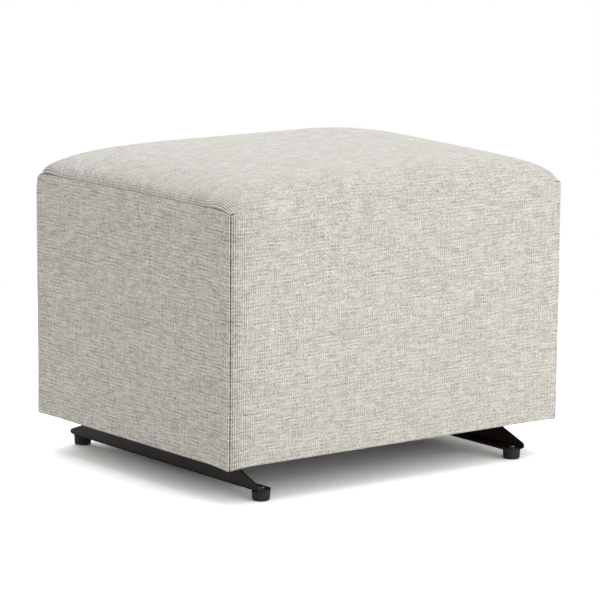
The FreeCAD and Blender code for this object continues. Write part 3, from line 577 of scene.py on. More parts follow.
# %% The finishes by material slot
ALONG_X = (0.12, 1.0, 1.0)
ALONG_Y = (1.0, 0.12, 1.0)
ALONG_Z = (1.0, 1.0, 0.12)
EVEN = (1.0, 1.0, 1.0)
BIRCH_RINGS = 22.0
BOARD_RINGS = 260.0
PINE_RINGS = 55.0
pine_pale = srgb(226, 196, 150)
pine_dark = srgb(190, 146, 96)
finishes = {
    "plywood": wood_material("birch_plywood", srgb(222, 194, 152), srgb(196, 160, 116),
                             rings=BIRCH_RINGS, stretch=ALONG_X),
    "fibreboard": wood_material("fibreboard", srgb(146, 112, 80), srgb(120, 90, 64),
                                rings=BOARD_RINGS, stretch=EVEN),
    "base_steel": grit_material("brown_black_paint", srgb(28, 21, 17), srgb(38, 30, 25), size=0.0009,
                                rough=(0.36, 0.48), relief=0.00006, specular=0.32),
    "link_steel": grit_material("zinc_bar", srgb(150, 152, 154), srgb(182, 184, 186), size=0.0015,
                                rough=(0.3, 0.45), relief=0.00003, metallic=1.0),
    "fastener_steel": grit_material("zinc_fastener", srgb(164, 166, 166), srgb(198, 198, 196), size=0.0012,
                                    rough=(0.22, 0.38), relief=0.00002, metallic=1.0),
    "nylon": grit_material("white_nylon", srgb(206, 204, 194), srgb(226, 224, 214), size=0.002,
                           rough=(0.4, 0.5), relief=0.00002),
    "rubber": grit_material("black_rubber", srgb(22, 19, 18), srgb(33, 29, 27), size=0.0008,
                            rough=(0.5, 0.68), relief=0.00005),
    "foam": grit_material("cream_foam", srgb(232, 214, 160), srgb(244, 230, 184), size=0.0014,
                          rough=(0.9, 0.95), relief=0.0006),
    "fibre_padding": grit_material("white_fibre", srgb(228, 228, 224), srgb(244, 244, 240), size=0.003,
                                   rough=(0.9, 0.95), relief=0.001),
    "dust_cloth": grit_material("black_cloth", srgb(22, 22, 23), srgb(38, 38, 40), size=0.0009,
                                rough=(0.85, 0.95), relief=0.0001),
    "upholstery": linen,
}
black_screw = grit_material("black_screw", srgb(66, 65, 64), srgb(104, 102, 100), size=0.0012,
                            rough=(0.12, 0.2), relief=0.00001, metallic=1.0)
pine = {axis: wood_material("pine_along_" + axis, pine_pale, pine_dark, PINE_RINGS, stretch)
        for axis, stretch in (("x", ALONG_X), ("y", ALONG_Y), ("z", ALONG_Z))}
slots = {row["node"]: row["material_slot"] for row in frame["record"]["subparts"]}


def longest_axis(node):
    """The axis that a piece of timber runs along, which its grain follows."""
    low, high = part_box(node)
    size = high - low
    return max("xyz", key=lambda axis: getattr(size, axis))


for name, node in nodes.items():
    material = pine[longest_axis(name)] if slots[name] == "timber" else finishes[slots[name]]
    node.data.materials.clear()
    node.data.materials.append(black_screw if name == "foot_screws" else material)
print("finishes:", len(bpy.data.materials))

# %% [markdown]
# The cover is three pieces of cloth. A long one runs up the front, over the top and down the back, and a
# panel closes each side. They meet in a plain seam at each vertical corner and along each side's top edge.
# A cushion like this could be sculpted, or a cube could be rounded off, but then the threads would not know
# where they run. So each piece starts as a flat grid, the way the cloth is cut, and every crossing of the
# grid is carried to its place on the footstool. The grid is close beside the seams, where the cloth turns
# sharply, and wide on the plain walls.

# %% The sizes of the cover
cover_low, cover_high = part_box("cover_centre")
side_low, side_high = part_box("cover_right")
HALF_X = side_high.x
HALF_Y = cover_high.y
BOTTOM = cover_low.z
HEM = side_high.x - side_low.x
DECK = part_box("deck_board")[1].z
print("cover half width", round(HALF_X, 4), "half depth", round(HALF_Y, 4), "hem", round(HEM, 4))

# %% [markdown]
# Seen from the side, the top is a flat arc, the crown, between two tighter arcs, the rolls that go down into
# the front and the back. It is lower and flatter at the seams than in the middle. For both places, middle is
# the height on the centre line, bow how far the crown falls from there to its shoulders, drop and run how far
# a roll goes down and along, and bulge how far it stands out from a straight line. Between them the top
# follows a superellipse, which is nearly level in the middle and steep beside the seam.
#
# Beside the seam the roll is pulled flat. A fold has a reach, in which the roll rounds out, and a roundness,
# the share of its bulge that it has there until the cloth is free.

# %% The line of the top, from the front to the back
AT_SEAM = {"middle": 0.4082, "bow": 0.0012, "drop": 0.0040, "run": 0.0310, "bulge": 0.0010}
AT_CROWN = {"middle": 0.4513, "bow": 0.0070, "drop": 0.0425, "run": 0.0395, "bulge": 0.0114}
CROWN_POWER = 3.6
CROWN_ROUNDNESS = 2.40
FOLD_LEFT = (0.040, 1.0)
FOLD_RIGHT = (0.0035, 0.62)
FOLD_BACK = (0.007, 1.0)
FOLD_FREE = 0.050
ARC_POINTS = 160


def crown_share(u):
    """How far the top has risen from the side seam, 0, to the middle, 1, at a share u of the half width."""
    return np.clip(1.0 - np.abs(u) ** CROWN_POWER, 0.0, 1.0) ** (1.0 / CROWN_ROUNDNESS)


def eased(value, low, high):
    """0 below low, 1 above high, and a soft rise between them."""
    share = np.clip((value - low) / (high - low), 0.0, 1.0)
    return share * share * (3.0 - 2.0 * share)


def arc(start, through, end):
    """Points of the circle that passes through three points, which are complex numbers y + z j."""
    ratio = (end - start) / (through - start)
    centre = (through - start) * (ratio - abs(ratio) ** 2) / (2j * ratio.imag) + start
    turn = np.angle((end - centre) / (start - centre))
    return centre + (start - centre) * np.exp(1j * turn * np.linspace(0.0, 1.0, ARC_POINTS))


def roll_line(half, shoulder, drop, bulge):
    """The roll from the wall up to the shoulder, as an arc."""
    corner = complex(-half, shoulder.imag - drop)
    chord = shoulder - corner
    return arc(corner, (corner + shoulder) / 2 + 1j * bulge * chord / abs(chord), shoulder)


def folded_bulge(u, share, fold):
    """How far the roll stands out from its chord, beside the seam as its fold has it."""
    reach, roundness = fold
    from_seam = (1.0 - u) * HALF_X
    free = eased(from_seam, 0.0, reach) * (roundness + (1.0 - roundness) * eased(from_seam, 0.0, FOLD_FREE))
    return AT_SEAM["bulge"] + (AT_CROWN["bulge"] - AT_SEAM["bulge"]) * share * free


def top_line(u, inset, fold):
    """The front roll, the flat crown and the back roll, as complex numbers y + z j, at a share u of the half
    width. fold says how the front roll is pulled beside the seam."""
    share = crown_share(u)
    size = {key: AT_SEAM[key] + (AT_CROWN[key] - AT_SEAM[key]) * share for key in AT_SEAM}
    half = HALF_Y - inset
    middle = size["middle"] - inset
    shoulder = complex(size["run"] - half, middle - size["bow"])
    front = roll_line(half, shoulder, size["drop"], folded_bulge(u, share, fold))
    crown = arc(shoulder, complex(0.0, middle), complex(-shoulder.real, shoulder.imag))
    back = -roll_line(half, shoulder, size["drop"], folded_bulge(u, share, FOLD_BACK))[::-1].conjugate()
    return np.concatenate([front[:-1], crown, back[1:]])


# %% The grid of each piece of cloth
CLOSE = 0.0013
WIDE = 0.0108
GROWTH = 1.4
CROWN_POINTS = 4001


def along(points, places):
    """Points at the given places along a line of closely spaced points, and the line's length."""
    length = np.concatenate([[0.0], np.cumsum(np.abs(np.diff(points)))])
    at = np.asarray(places) * length[-1]
    return np.interp(at, length, points.real) + 1j * np.interp(at, length, points.imag), length[-1]


def graded(length):
    """Shares of a length, close together at both ends and wide apart between them."""
    half = [0.0]
    step = CLOSE
    while half[-1] < length / 2:
        half.append(half[-1] + step)
        step = min(WIDE, step * GROWTH)
    half = np.array(half) / half[-1] / 2
    return np.concatenate([half, 1.0 - half[-2::-1]])


crown_x = np.linspace(-1.0, 1.0, CROWN_POINTS)
crown_line = HALF_X * crown_x + 1j * (AT_CROWN["middle"] - AT_SEAM["middle"]) * crown_share(crown_x)
cloth_over_top = along(top_line(0.0, 0.0, FOLD_LEFT), [0.0])[1]
cloth_width = along(crown_line, [0.0])[1]
wall_height = AT_SEAM["middle"] - AT_SEAM["bow"] - AT_SEAM["drop"] - BOTTOM

across = graded(cloth_width)
over = graded(cloth_over_top)
rising = graded(wall_height)
hem_steps = np.array([0.0, 0.5, 1.0 - CLOSE / HEM])
COLUMNS = len(across) - 1
TOP_ROWS = len(over) - 1
WALL_ROWS = len(rising) - 1
HEM_ROWS = len(hem_steps)
top_x = along(crown_line, across)[0].real / HALF_X
wall_x = across * 2.0 - 1.0
print("centre piece:", COLUMNS, "by", 2 * (HEM_ROWS + WALL_ROWS) + TOP_ROWS, "cells")
print("side panel:", TOP_ROWS, "by", HEM_ROWS + WALL_ROWS, "cells")

# %% [markdown]
# On the walls the columns of the grid are upright. On the top they spread, because the way over the crown is
# longer than the way across the wall, and they do so within the roll. The line of the top is worked out once
# at many shares of the width and kept in a table, since every row needs it at its own places.

# %% Carry the grids to their places
TABLE_LINES = 241
ROLL_SHARE = 0.13
LIFT_SHARE = 0.25


def table_of_lines(inset, fold):
    """The top's line at many shares of the half width, closest together near the seam, where it is first."""
    shares = 1.0 - np.linspace(0.0, 1.0, TABLE_LINES) ** 2
    return np.array([along(top_line(u, inset, fold), over)[0] for u in shares])


def read_table(table, u, row):
    """The y + z j of one row of the top at any share of the half width."""
    place = np.sqrt(np.clip(1.0 - np.abs(u), 0.0, 1.0))
    lines = np.linspace(0.0, 1.0, TABLE_LINES)
    return np.interp(place, lines, table[:, row].real) + 1j * np.interp(place, lines, table[:, row].imag)


def limits(inset):
    """Half the width, half the depth and the lower edge of the cover, or of padding a little way inside it."""
    return HALF_X - inset, HALF_Y - inset, BOTTOM + inset * LIFT_SHARE


def centre_places(inset):
    """The place of every crossing of the centre piece's grid, by column and row."""
    left, right = (table_of_lines(inset, fold) for fold in (FOLD_LEFT, FOLD_RIGHT))
    half_x, half_y, low = limits(inset)
    rows = []
    for row in range(TOP_ROWS + 1):
        spread = eased(min(over[row], 1.0 - over[row]), 0.0, ROLL_SHARE)
        x = wall_x + (top_x - wall_x) * spread
        line = np.where(x < 0, read_table(left, x, row), read_table(right, x, row))
        rows.append(np.stack([x * half_x, line.real, line.imag], axis=1))
    foot, head = rows[0], rows[-1]
    front = [foot + [[0.0, 0.0, 1.0]] * ((low - foot[:, 2:]) * (1.0 - share)) for share in rising[:-1]]
    back = [head + [[0.0, 0.0, 1.0]] * ((low - head[:, 2:]) * (1.0 - share)) for share in rising[:-1]]
    hems = []
    for wall, sign in ((front[0], -1.0), (back[0], 1.0)):
        x, y, z = wall.T
        hems.append([np.stack([x * (half_x - t) / half_x, y - sign * t, z], axis=1)
                     for t in HEM * (1.0 - hem_steps)])
    return np.array(hems[0] + front + rows + back[::-1] + hems[1][::-1]).transpose(1, 0, 2)


def side_places(side, inset):
    """The place of every crossing of a side panel's grid, by column and row."""
    seam = along(top_line(1.0, inset, FOLD_LEFT), over)[0]
    half_x, half_y, low = limits(inset)
    x = np.full(TOP_ROWS + 1, side * half_x)
    rows = [np.stack([x, seam.real, low + (seam.imag - low) * share], axis=1) for share in rising]
    hem = [np.stack([x - side * t, seam.real * (half_y - t) / half_y, rows[0][:, 2]], axis=1)
           for t in HEM * (1.0 - hem_steps)]
    return np.array(hem + rows).transpose(1, 0, 2)


# %% [markdown]
# Every corner of every face also gets its place in the flat cloth, in metres, as a UV map that the weave
# reads. It is written before the cover is shaped, so the threads bend with the cloth. The flat sizes are the
# lengths of the hem, the walls and the line over the top, one after the other.

# %% The flat sizes of the cloth
hem_flat = HEM * hem_steps
wall_flat = HEM + wall_height * rising
top_end = wall_flat[-1] + cloth_over_top
centre_flat = np.concatenate([hem_flat, wall_flat[:-1], wall_flat[-1] + cloth_over_top * over,
                              top_end + wall_height * (1.0 - rising[-2::-1]),
                              top_end + wall_height + HEM * (1.0 - hem_steps[::-1])])
side_flat = np.concatenate([hem_flat, wall_flat])
fit_weave(linen, cloth_width, float(centre_flat[-1]), cloth_over_top)
fit_weave(side_linen, 2 * HALF_Y, float(side_flat[-1]), 0.0)
print("flat sizes:", round(cloth_width, 4), round(float(centre_flat[-1]), 4),
      "and", round(2 * HALF_Y, 4), round(float(side_flat[-1]), 4))

# %% [markdown]
# The three grids are joined along their borders into one cover, and each face keeps the number of its panel.
# The same layout, taken in by a few millimetres, is used again further down for the padding under the cloth.
# At the vertical corners the seams don't lie on the edge: the left ones show just on the front and back, and
# the right ones just on the side, so there the cloth is shifted round the corner.

# %% Lay out the three pieces of cloth
CENTRE, LEFT, RIGHT = 1, 2, 3
SEAM_WRAP_LEFT = 0.0032
SEAM_WRAP_RIGHT = -0.0028
SEAM_EASE = 0.015
SEAM_ZONE = 0.06
TOUCHING = 0.00001
MERGE_WITHIN = 0.0003
CORNER_HEIGHT = BOTTOM + wall_height


def add_panel(bm, panel, places, flat_x, flat_y):
    """One flat grid carried to its place, with its panel number and its place in the flat cloth."""
    weave_map = bm.loops.layers.uv.verify()
    panel_layer = bm.faces.layers.int.get("panel") or bm.faces.layers.int.new("panel")
    columns, rows = len(flat_x) - 1, len(flat_y) - 1
    made = bmesh.ops.create_grid(bm, x_segments=columns, y_segments=rows, size=1.0)["verts"]
    spots = {v: (round((v.co.x + 1) / 2 * columns), round((v.co.y + 1) / 2 * rows)) for v in made}
    for face in {face for v in made for face in v.link_faces}:
        face[panel_layer] = panel
        for loop in face.loops:
            column, row = spots[loop.vert]
            loop[weave_map].uv = (flat_x[column], flat_y[row])
    for v, (column, row) in spots.items():
        v.co = places[column, row]


def turn_corners(bm):
    """Shift the cloth round the vertical corners, and fade the shift out along the walls and the hem."""
    for v in bm.verts:
        x, y, z = v.co
        wrap = SEAM_WRAP_LEFT if x < 0 else SEAM_WRAP_RIGHT
        from_x, from_y = HALF_X - abs(x), HALF_Y - abs(y)
        if from_x > SEAM_ZONE or from_y > SEAM_ZONE:
            continue
        if from_x < TOUCHING or from_y < TOUCHING:
            round_corner = from_x if from_x > TOUCHING else -from_y
            shifted = round_corner + wrap * math.exp(-abs(round_corner) / SEAM_EASE)
            v.co.x = math.copysign(HALF_X - max(0.0, shifted), x)
            v.co.y = math.copysign(HALF_Y + min(0.0, shifted), y)
        else:
            reach = max(0.0, wrap * math.exp(-from_y / SEAM_EASE) - from_y)
            v.co.x = math.copysign(HALF_X - from_x - reach * math.exp(-from_x / SEAM_EASE), x)


def lay_out_cover(inset):
    """All three pieces, joined at their seams, as one bmesh."""
    bm = bmesh.new()
    add_panel(bm, CENTRE, centre_places(inset), cloth_width * across, centre_flat)
    for panel, side in ((LEFT, -1.0), (RIGHT, 1.0)):
        add_panel(bm, panel, side_places(side, inset), 2 * HALF_Y * over, side_flat)
    bmesh.ops.remove_doubles(bm, verts=bm.verts, dist=MERGE_WITHIN)
    bmesh.ops.recalc_face_normals(bm, faces=bm.faces)
    if inset == 0.0:
        turn_corners(bm)
    return bm


def new_object(name, bm):
    """An object at the origin from a bmesh, with smooth faces."""
    mesh = bpy.data.meshes.new(name)
    for face in bm.faces:
        face.smooth = True
    bm.to_mesh(mesh)
    bm.free()
    made = bpy.data.objects.new(name, mesh)
    scene.collection.objects.link(made)
    return made


sewn = new_object("sewn_cover", lay_out_cover(0.0))
sewn.data.uv_layers[0].name = "weave"
print("sewn cover:", len(sewn.data.vertices), "points,", len(sewn.data.polygons), "faces")

# %% [markdown]
# Padding pushes the cloth out and the seams hold it in. A cloth simulation with some air pressure inside
# gives just that. Seams and hem are held. The foam doesn't let the cloth sink, so only what moves outwards is
# kept, and it is held softly below a cap. The cap grows from the bottom, where the cloth is pulled tight
# round the frame, to the upper walls, and is small again on the top. The result is written to the mesh, and
# no simulation is left on it.

# %% Fill the cover
PRESSURE = 20.0
FILL_STEPS = 16
SWELL_LOW, SWELL_HIGH, SWELL_TOP = 0.0014, 0.0023, 0.0012
WALL_FROM, WALL_TO = 0.10, 0.30
ROLL_FROM, ROLL_TO = 0.40, 0.43


def seam_edges(bm):
    """The edges where two panels meet."""
    layer = bm.faces.layers.int["panel"]
    return [edge for edge in bm.edges if len({face[layer] for face in edge.link_faces}) > 1]


def held_points(mesh):
    """The numbers of the points that the seams and the hem hold."""
    bm = bmesh.new()
    bm.from_mesh(mesh)
    held = {v.index for edge in seam_edges(bm) for v in edge.verts}
    held.update(v.index for v in bm.verts if v.co.z < BOTTOM + CLOSE / 2)
    bm.free()
    return sorted(held)


def swell_cap(height):
    """The furthest that the cloth may stand out at a height."""
    wall = SWELL_LOW + (SWELL_HIGH - SWELL_LOW) * eased(height, WALL_FROM, WALL_TO)
    return wall + (SWELL_TOP - SWELL_HIGH) * eased(height, ROLL_FROM, ROLL_TO)


def pressed_out(cover):
    """Where the points of the cover end up in the simulation."""
    group = cover.vertex_groups.new(name="held")
    group.add(held_points(cover.data), 1.0, "REPLACE")
    cloth = cover.modifiers.new("fill", "CLOTH")
    settings = cloth.settings
    settings.quality = 5
    settings.mass = 0.3
    settings.tension_stiffness = settings.compression_stiffness = 15.0
    settings.shear_stiffness = 5.0
    settings.bending_stiffness = 0.5
    settings.vertex_group_mass = group.name
    settings.use_pressure = True
    settings.uniform_pressure_force = PRESSURE
    settings.effector_weights.gravity = 0.0
    cloth.point_cache.frame_end = FILL_STEPS
    for step in range(1, FILL_STEPS + 1):
        scene.frame_set(step)
    filled = cover.evaluated_get(bpy.context.evaluated_depsgraph_get())
    place = np.array([v.co for v in filled.data.vertices])
    cover.modifiers.remove(cloth)
    scene.frame_set(1)
    return place


def fill_cover(cover):
    """Keep the outward part of the simulated movement, under the cap, and write it to the mesh."""
    start = np.array([v.co for v in cover.data.vertices])
    normals = np.array([v.normal for v in cover.data.vertices])
    outward = np.maximum(0.0, ((pressed_out(cover) - start) * normals).sum(axis=1))
    cap = swell_cap(start[:, 2])
    kept = cap * np.tanh(outward / cap)
    cover.data.vertices.foreach_set("co", (start + normals * kept[:, None]).astype(np.float32).ravel())
    cover.data.update()
    print("filled: up to", round(float(outward.max()) * 1000, 1), "mm before the cap,",
          round(float(kept.max()) * 1000, 1), "mm after it")


fill_cover(sewn)

# %% [markdown]
# No cover is quite square. Its foam stands highest towards the back right, and each top corner is fuller than
# the edges beside it, because the cloth of three sides meets there. The walls lean by a few millimetres: the
# left one out at its top, the right one out at its foot, and the back one backwards. The back left corner of
# the top is drawn in rounder than the others, and at every corner the hem hangs a little low, most of all at
# the near one. All are gentle moves that fade out, so they are made directly on the points.

# %% Fill the corners and the crest
CORNER_FULLNESS = 0.0026
CORNER_REACH = 0.050
CORNER_CLEAR = 0.008
CREST_HEIGHT = 0.0058
CREST_PLACE = (0.1825, 0.1025)
CREST_WIDTH = 0.0875
CREST_CLEAR = 0.020
OVER_SEAM_FROM, OVER_SEAM_TO = 0.001, 0.012


def fill_top(place, normals):
    """Push the top out at its corners and at the crest, and leave the seams and walls where they are."""
    from_side = HALF_X - np.abs(place[:, 0])
    from_end = HALF_Y - np.abs(place[:, 1])
    in_corner = (1.0 - eased(from_side, 0.0, CORNER_REACH)) * (1.0 - eased(from_end, 0.0, CORNER_REACH))
    corners = CORNER_FULLNESS * in_corner * eased(from_side, 0.0, CORNER_CLEAR)
    from_crest = (place[:, 0] - CREST_PLACE[0]) ** 2 + (place[:, 1] - CREST_PLACE[1]) ** 2
    crest = CREST_HEIGHT * np.exp(-from_crest / CREST_WIDTH ** 2) * eased(from_side, 0.0, CREST_CLEAR)
    above = eased(place[:, 2], CORNER_HEIGHT + OVER_SEAM_FROM, CORNER_HEIGHT + OVER_SEAM_TO)
    place += normals * ((corners + crest) * above)[:, None]


# %% Lean the walls
LEFT_AT_TOP = 0.0024
RIGHT_AT_BOTTOM, RIGHT_AT_TOP = 0.0044, 0.0020
BACK_AT_BOTTOM, BACK_AT_TOP = 0.0014, 0.0024
LEAN_FROM, LEAN_TO = 0.06, 0.42


def lean_walls(place):
    """Move the left, right and back walls out, each by its own amounts at the bottom and at the top."""
    height = eased(place[:, 2], LEAN_FROM, LEAN_TO)
    rightward = (place[:, 0] / HALF_X + 1.0) / 2.0
    backward = np.clip(place[:, 1] / HALF_Y, 0.0, 1.0)
    right = RIGHT_AT_BOTTOM + (RIGHT_AT_TOP - RIGHT_AT_BOTTOM) * height
    back = BACK_AT_BOTTOM + (BACK_AT_TOP - BACK_AT_BOTTOM) * height
    place[:, 0] += right * rightward - LEFT_AT_TOP * height * (1.0 - rightward)
    place[:, 1] += back * backward


# %% Round the back left corner and let the hem hang
TOP_CORNER_IN = 0.0012
TOP_CORNER_DOWN = 0.2
TOP_CORNER_REACH = 0.016
TOP_CORNER_BELOW, TOP_CORNER_ABOVE = 0.022, 0.006
HEM_SAG_NEAR = 0.0028
HEM_SAG = 0.0010
HEM_SAG_REACH = 0.022
HEM_SAG_HEIGHT = 0.05


def near_posts(place, reach):
    """1 at the four vertical corners, seen from above, and less and less within a reach of them."""
    gaps = np.maximum(0.0, (HALF_X, HALF_Y) - np.abs(place[:, :2]))
    return np.exp(-(np.hypot(gaps[:, 0], gaps[:, 1]) / reach) ** 2)


def round_back_left(place):
    """Draw the back left corner of the top in, and a little down."""
    at_back_left = (place[:, 0] < 0) & (place[:, 1] > 0)
    drawn = np.where(at_back_left, TOP_CORNER_IN, 0.0) * near_posts(place, TOP_CORNER_REACH)
    drawn *= eased(place[:, 2], CORNER_HEIGHT - TOP_CORNER_BELOW, CORNER_HEIGHT + TOP_CORNER_ABOVE)
    place[:, 0] += drawn
    place[:, 1] -= drawn
    place[:, 2] -= drawn * TOP_CORNER_DOWN


def hang_hem(place):
    """Let the hem down at the corners, and most at the near one."""
    at_near_corner = (place[:, 0] < 0) & (place[:, 1] < 0)
    sag = np.where(at_near_corner, HEM_SAG_NEAR, HEM_SAG) * near_posts(place, HEM_SAG_REACH)
    place[:, 2] -= sag * (1.0 - eased(place[:, 2], BOTTOM, BOTTOM + HEM_SAG_HEIGHT))


def settle(cover):
    """Set the cover as it sits on its frame."""
    place = np.array([v.co for v in cover.data.vertices])
    fill_top(place, np.array([v.normal for v in cover.data.vertices]))
    lean_walls(place)
    round_back_left(place)
    hang_hem(place)
    cover.data.vertices.foreach_set("co", place.astype(np.float32).ravel())
    cover.data.update()


settle(sewn)
print("settled: lowest point", round(min(v.co.z for v in sewn.data.vertices), 4),
      "highest", round(max(v.co.z for v in sewn.data.vertices), 4))

# %% [markdown]
# A plain seam is a narrow groove, because both edges turn in and are joined underneath. The points on the
# seam are drawn in along their normal. At the top of each vertical seam the cloth has to go from upright to
# level round a corner, and it makes one short tuck there: a crease that runs from the seam into the front,
# and a soft fold above it that leans over the crease. It is deepest at the near corner.

# %% Sew the seams and the corner tucks
SEAM_DEPTH = 0.0022
TOP_SEAM_DEPTH = 0.0007
TOP_SEAM_EASE = 0.003
TUCK_DEPTH = 0.0024
TUCK_WIDTH = 0.0014
TUCK_FOLD = 0.0012
TUCK_FOLD_ABOVE = 0.0045
TUCK_FOLD_WIDTH = 0.0028
OTHER_TUCKS = 0.3


def seam_moves(bm):
    """The points on the seams, each with its move inwards."""
    moves = {}
    for v in {v for edge in seam_edges(bm) for v in edge.verts}:
        over_top = eased(v.co.z, CORNER_HEIGHT, CORNER_HEIGHT + TOP_SEAM_EASE)
        moves[v] = -v.normal * (SEAM_DEPTH + (TOP_SEAM_DEPTH - SEAM_DEPTH) * over_top)
    return moves


def tuck_moves(bm):
    """The points of the centre piece beside its top corners, each with its move in the crease or the fold."""
    layer = bm.faces.layers.int["panel"]
    weave_map = bm.loops.layers.uv["weave"]
    centre_faces = [face for face in bm.faces if face[layer] == CENTRE]
    flat = {loop.vert: loop[weave_map].uv for face in centre_faces for loop in face.loops}
    moves = {}
    for v, (x, y) in flat.items():
        inward = min(x, cloth_width - x)
        if inward > TUCK_LENGTH:
            continue
        over_wall = (cloth_over_top - abs(2.0 * y - centre_flat[-1])) / 2.0
        above_crease = over_wall - TUCK_ABOVE - TUCK_RISE * inward
        crease = math.exp(-(above_crease / TUCK_WIDTH) ** 2)
        fold = math.exp(-((above_crease - TUCK_FOLD_ABOVE) / TUCK_FOLD_WIDTH) ** 2)
        at_near_corner = x < cloth_width / 2 and y < centre_flat[-1] / 2
        strength = math.sqrt(1.0 - inward / TUCK_LENGTH) * (1.0 if at_near_corner else OTHER_TUCKS)
        moves[v] = v.normal * (TUCK_FOLD * fold - TUCK_DEPTH * crease) * strength
    return moves


def sew(cover):
    """Draw the seams in and crease the four corners. On a seam its own move counts."""
    bm = bmesh.new()
    bm.from_mesh(cover.data)
    bm.normal_update()
    moves = {**tuck_moves(bm), **seam_moves(bm)}
    for v, move in moves.items():
        v.co += move
    bm.to_mesh(cover.data)
    bm.free()
    print("sewn:", len(moves), "points moved")


sew(sewn)

# %% [markdown]
# The cover is now cut apart along its seams into the three real pieces. Each gets one level of subdivision,
# which rounds the turned edges, and the thickness of the cloth. Each stands for one node of the construction,
# which it replaces.

# %% Cut the three pieces apart
CLOTH_THICKNESS = 0.0012


def thicken(piece, thickness):
    """Give a sheet its thickness, behind its face."""
    skin = piece.modifiers.new("thickness", "SOLIDIFY")
    skin.thickness = thickness
    skin.offset = -1.0


def cut_piece(panel, name, cloth):
    """One panel of the sewn cover as an object of its own."""
    bm = bmesh.new()
    bm.from_mesh(sewn.data)
    layer = bm.faces.layers.int["panel"]
    bmesh.ops.delete(bm, geom=[face for face in bm.faces if face[layer] != panel], context="FACES")
    piece = new_object(name, bm)
    piece.data.materials.append(cloth)
    smooth = piece.modifiers.new("smooth", "SUBSURF")
    smooth.levels = smooth.render_levels = 1
    thicken(piece, CLOTH_THICKNESS)
    return piece


def stand_in(piece, node, body="body"):
    """The piece rides on a body and stands for one node of the construction."""
    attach(piece, body)
    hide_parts(node)
    print(piece.name, "stands for", node)


covers = {}
for panel, node in ((CENTRE, "cover_centre"), (LEFT, "cover_left"), (RIGHT, "cover_right")):
    covers[node] = cut_piece(panel, node + "_cloth", linen if panel == CENTRE else side_linen)
    stand_in(covers[node], node)
bpy.data.objects.remove(sewn)

# %% [markdown]
# Under the cloth lie the foam pad and the fibre sheet that wraps it. Both have the cover's own form, taken
# in, and cut off level at the deck board. Nothing shows them, but whoever takes the cover off should find
# them. Smoothing rounds their edges, as the cover does when it is pulled tight over them.

# %% Foam pad and fibre wrap
FOAM_INSET = 0.0088
WRAP_INSET = 0.0034
WRAP_THICKNESS = 0.0042
OVER_DECK = 0.0005
SMOOTHINGS = 12


def crowned_piece(inset):
    """The cover's form above the deck, taken in and with its edges rounded, open below."""
    bm = lay_out_cover(inset)
    bmesh.ops.bisect_plane(bm, geom=bm.verts[:] + bm.edges[:] + bm.faces[:], dist=TOUCHING,
                           plane_co=(0, 0, DECK + OVER_DECK), plane_no=(0, 0, 1), clear_inner=True)
    rim = {v for edge in bm.edges if edge.is_boundary for v in edge.verts}
    inside = [v for v in bm.verts if v not in rim]
    for _ in range(SMOOTHINGS):
        bmesh.ops.smooth_vert(bm, verts=inside, factor=0.5, use_axis_x=True, use_axis_y=True,
                              use_axis_z=True)
    return bm


bm = crowned_piece(FOAM_INSET)
bmesh.ops.holes_fill(bm, edges=[edge for edge in bm.edges if edge.is_boundary], sides=0)
bmesh.ops.recalc_face_normals(bm, faces=bm.faces)
foam = new_object("crowned_foam", bm)
foam.data.materials.append(finishes["foam"])
stand_in(foam, "foam_pad")

wrap = new_object("fibre_wrap_sheet", crowned_piece(WRAP_INSET))
wrap.data.materials.append(finishes["fibre_padding"])
thicken(wrap, WRAP_THICKNESS)
stand_in(wrap, "fibre_wrap")

# %% [markdown]
# Each wall has a padding sheet between the board and the cloth. It could be a plain box, but the cloth that
# is pulled over it presses a real sheet's edges round. So the outer rim of the box gets a bevel, and its
# outer face lies a little in, clear of the cloth.

# %% Side padding
PADDING_ROUND = 0.0042
PADDING_IN = 0.0009


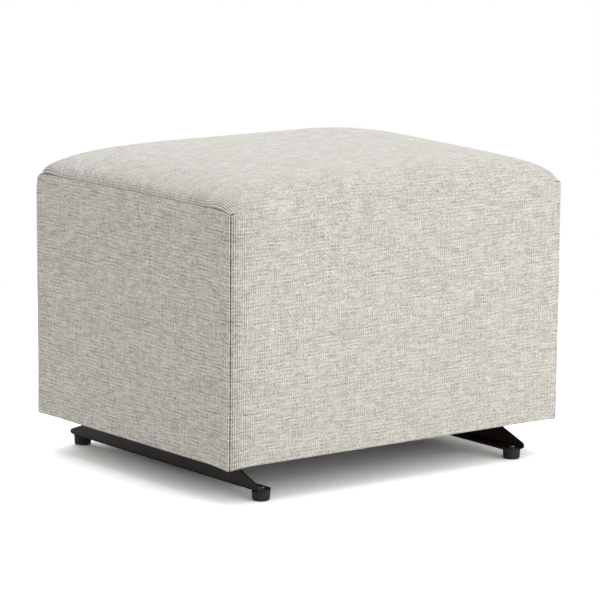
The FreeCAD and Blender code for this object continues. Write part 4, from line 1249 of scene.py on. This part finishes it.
def padding_slab(node):
    """A slab in the space of one padding node, with its outer face a little in and its rims rounded."""
    low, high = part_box(node)
    size = high - low
    middle = (low + high) / 2
    axis = 0 if size.x < size.y else 1
    outward = math.copysign(1.0, middle[axis])
    bm = bmesh.new()
    bmesh.ops.create_cube(bm, size=1.0)
    bmesh.ops.scale(bm, vec=size, verts=bm.verts)
    bmesh.ops.translate(bm, vec=middle, verts=bm.verts)
    outer = [v for v in bm.verts if (v.co[axis] - middle[axis]) * outward > 0]
    rim = [edge for edge in bm.edges if all(v in outer for v in edge.verts)]
    bmesh.ops.bevel(bm, geom=rim, offset=PADDING_ROUND, offset_type="OFFSET", segments=4, profile=0.5,
                    affect="EDGES", material=-1)
    for v in bm.verts:
        if (v.co[axis] - middle[axis]) * outward > 0:
            v.co[axis] -= outward * PADDING_IN
    bmesh.ops.recalc_face_normals(bm, faces=bm.faces)
    return new_object(node + "_slab", bm)


for wall in ("front", "back", "left", "right"):
    slab = padding_slab("side_padding_" + wall)
    slab.data.materials.append(finishes["fibre_padding"])
    stand_in(slab, "side_padding_" + wall)

# %% [markdown]
# From below, a thin dark sheet hides the hollow of the box. It is clamped along two edges under the wooden
# rails and stapled at the front and back, so it is flat there and hangs a few millimetres in the middle. A
# simulation would find the same shallow bowl, so a formula with a faint ripple is enough.

# %% Dust cover
DUST_CELLS = 32
DUST_SAG = 0.005
DUST_CLAMP = 0.03
RIPPLE = 0.15
RIPPLE_TURN = 21.0
RIPPLE_SLANT = 3.0

dust_low, dust_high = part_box("dust_cover")
dust_size = dust_high - dust_low
bm = bmesh.new()
bmesh.ops.create_grid(bm, x_segments=DUST_CELLS, y_segments=DUST_CELLS, size=0.5)
for v in bm.verts:
    held_x = 1.0 - (2.0 * v.co.x) ** 2
    held_y = 1.0 - (2.0 * v.co.y) ** 2
    clear = max(0.0, min(1.0, (0.5 - abs(v.co.x)) * dust_size.x / DUST_CLAMP - 0.5))
    ripple = RIPPLE * math.sin(RIPPLE_TURN * v.co.y + RIPPLE_SLANT * v.co.x)
    sag = DUST_SAG * held_x * held_y * clear * (1.0 + ripple)
    v.co = (v.co.x * dust_size.x, v.co.y * dust_size.y, dust_high.z - sag)
dust = new_object("dust_cover_sheet", bm)
dust.data.materials.append(finishes["dust_cloth"])
thicken(dust, dust_size.z)
stand_in(dust, "dust_cover")
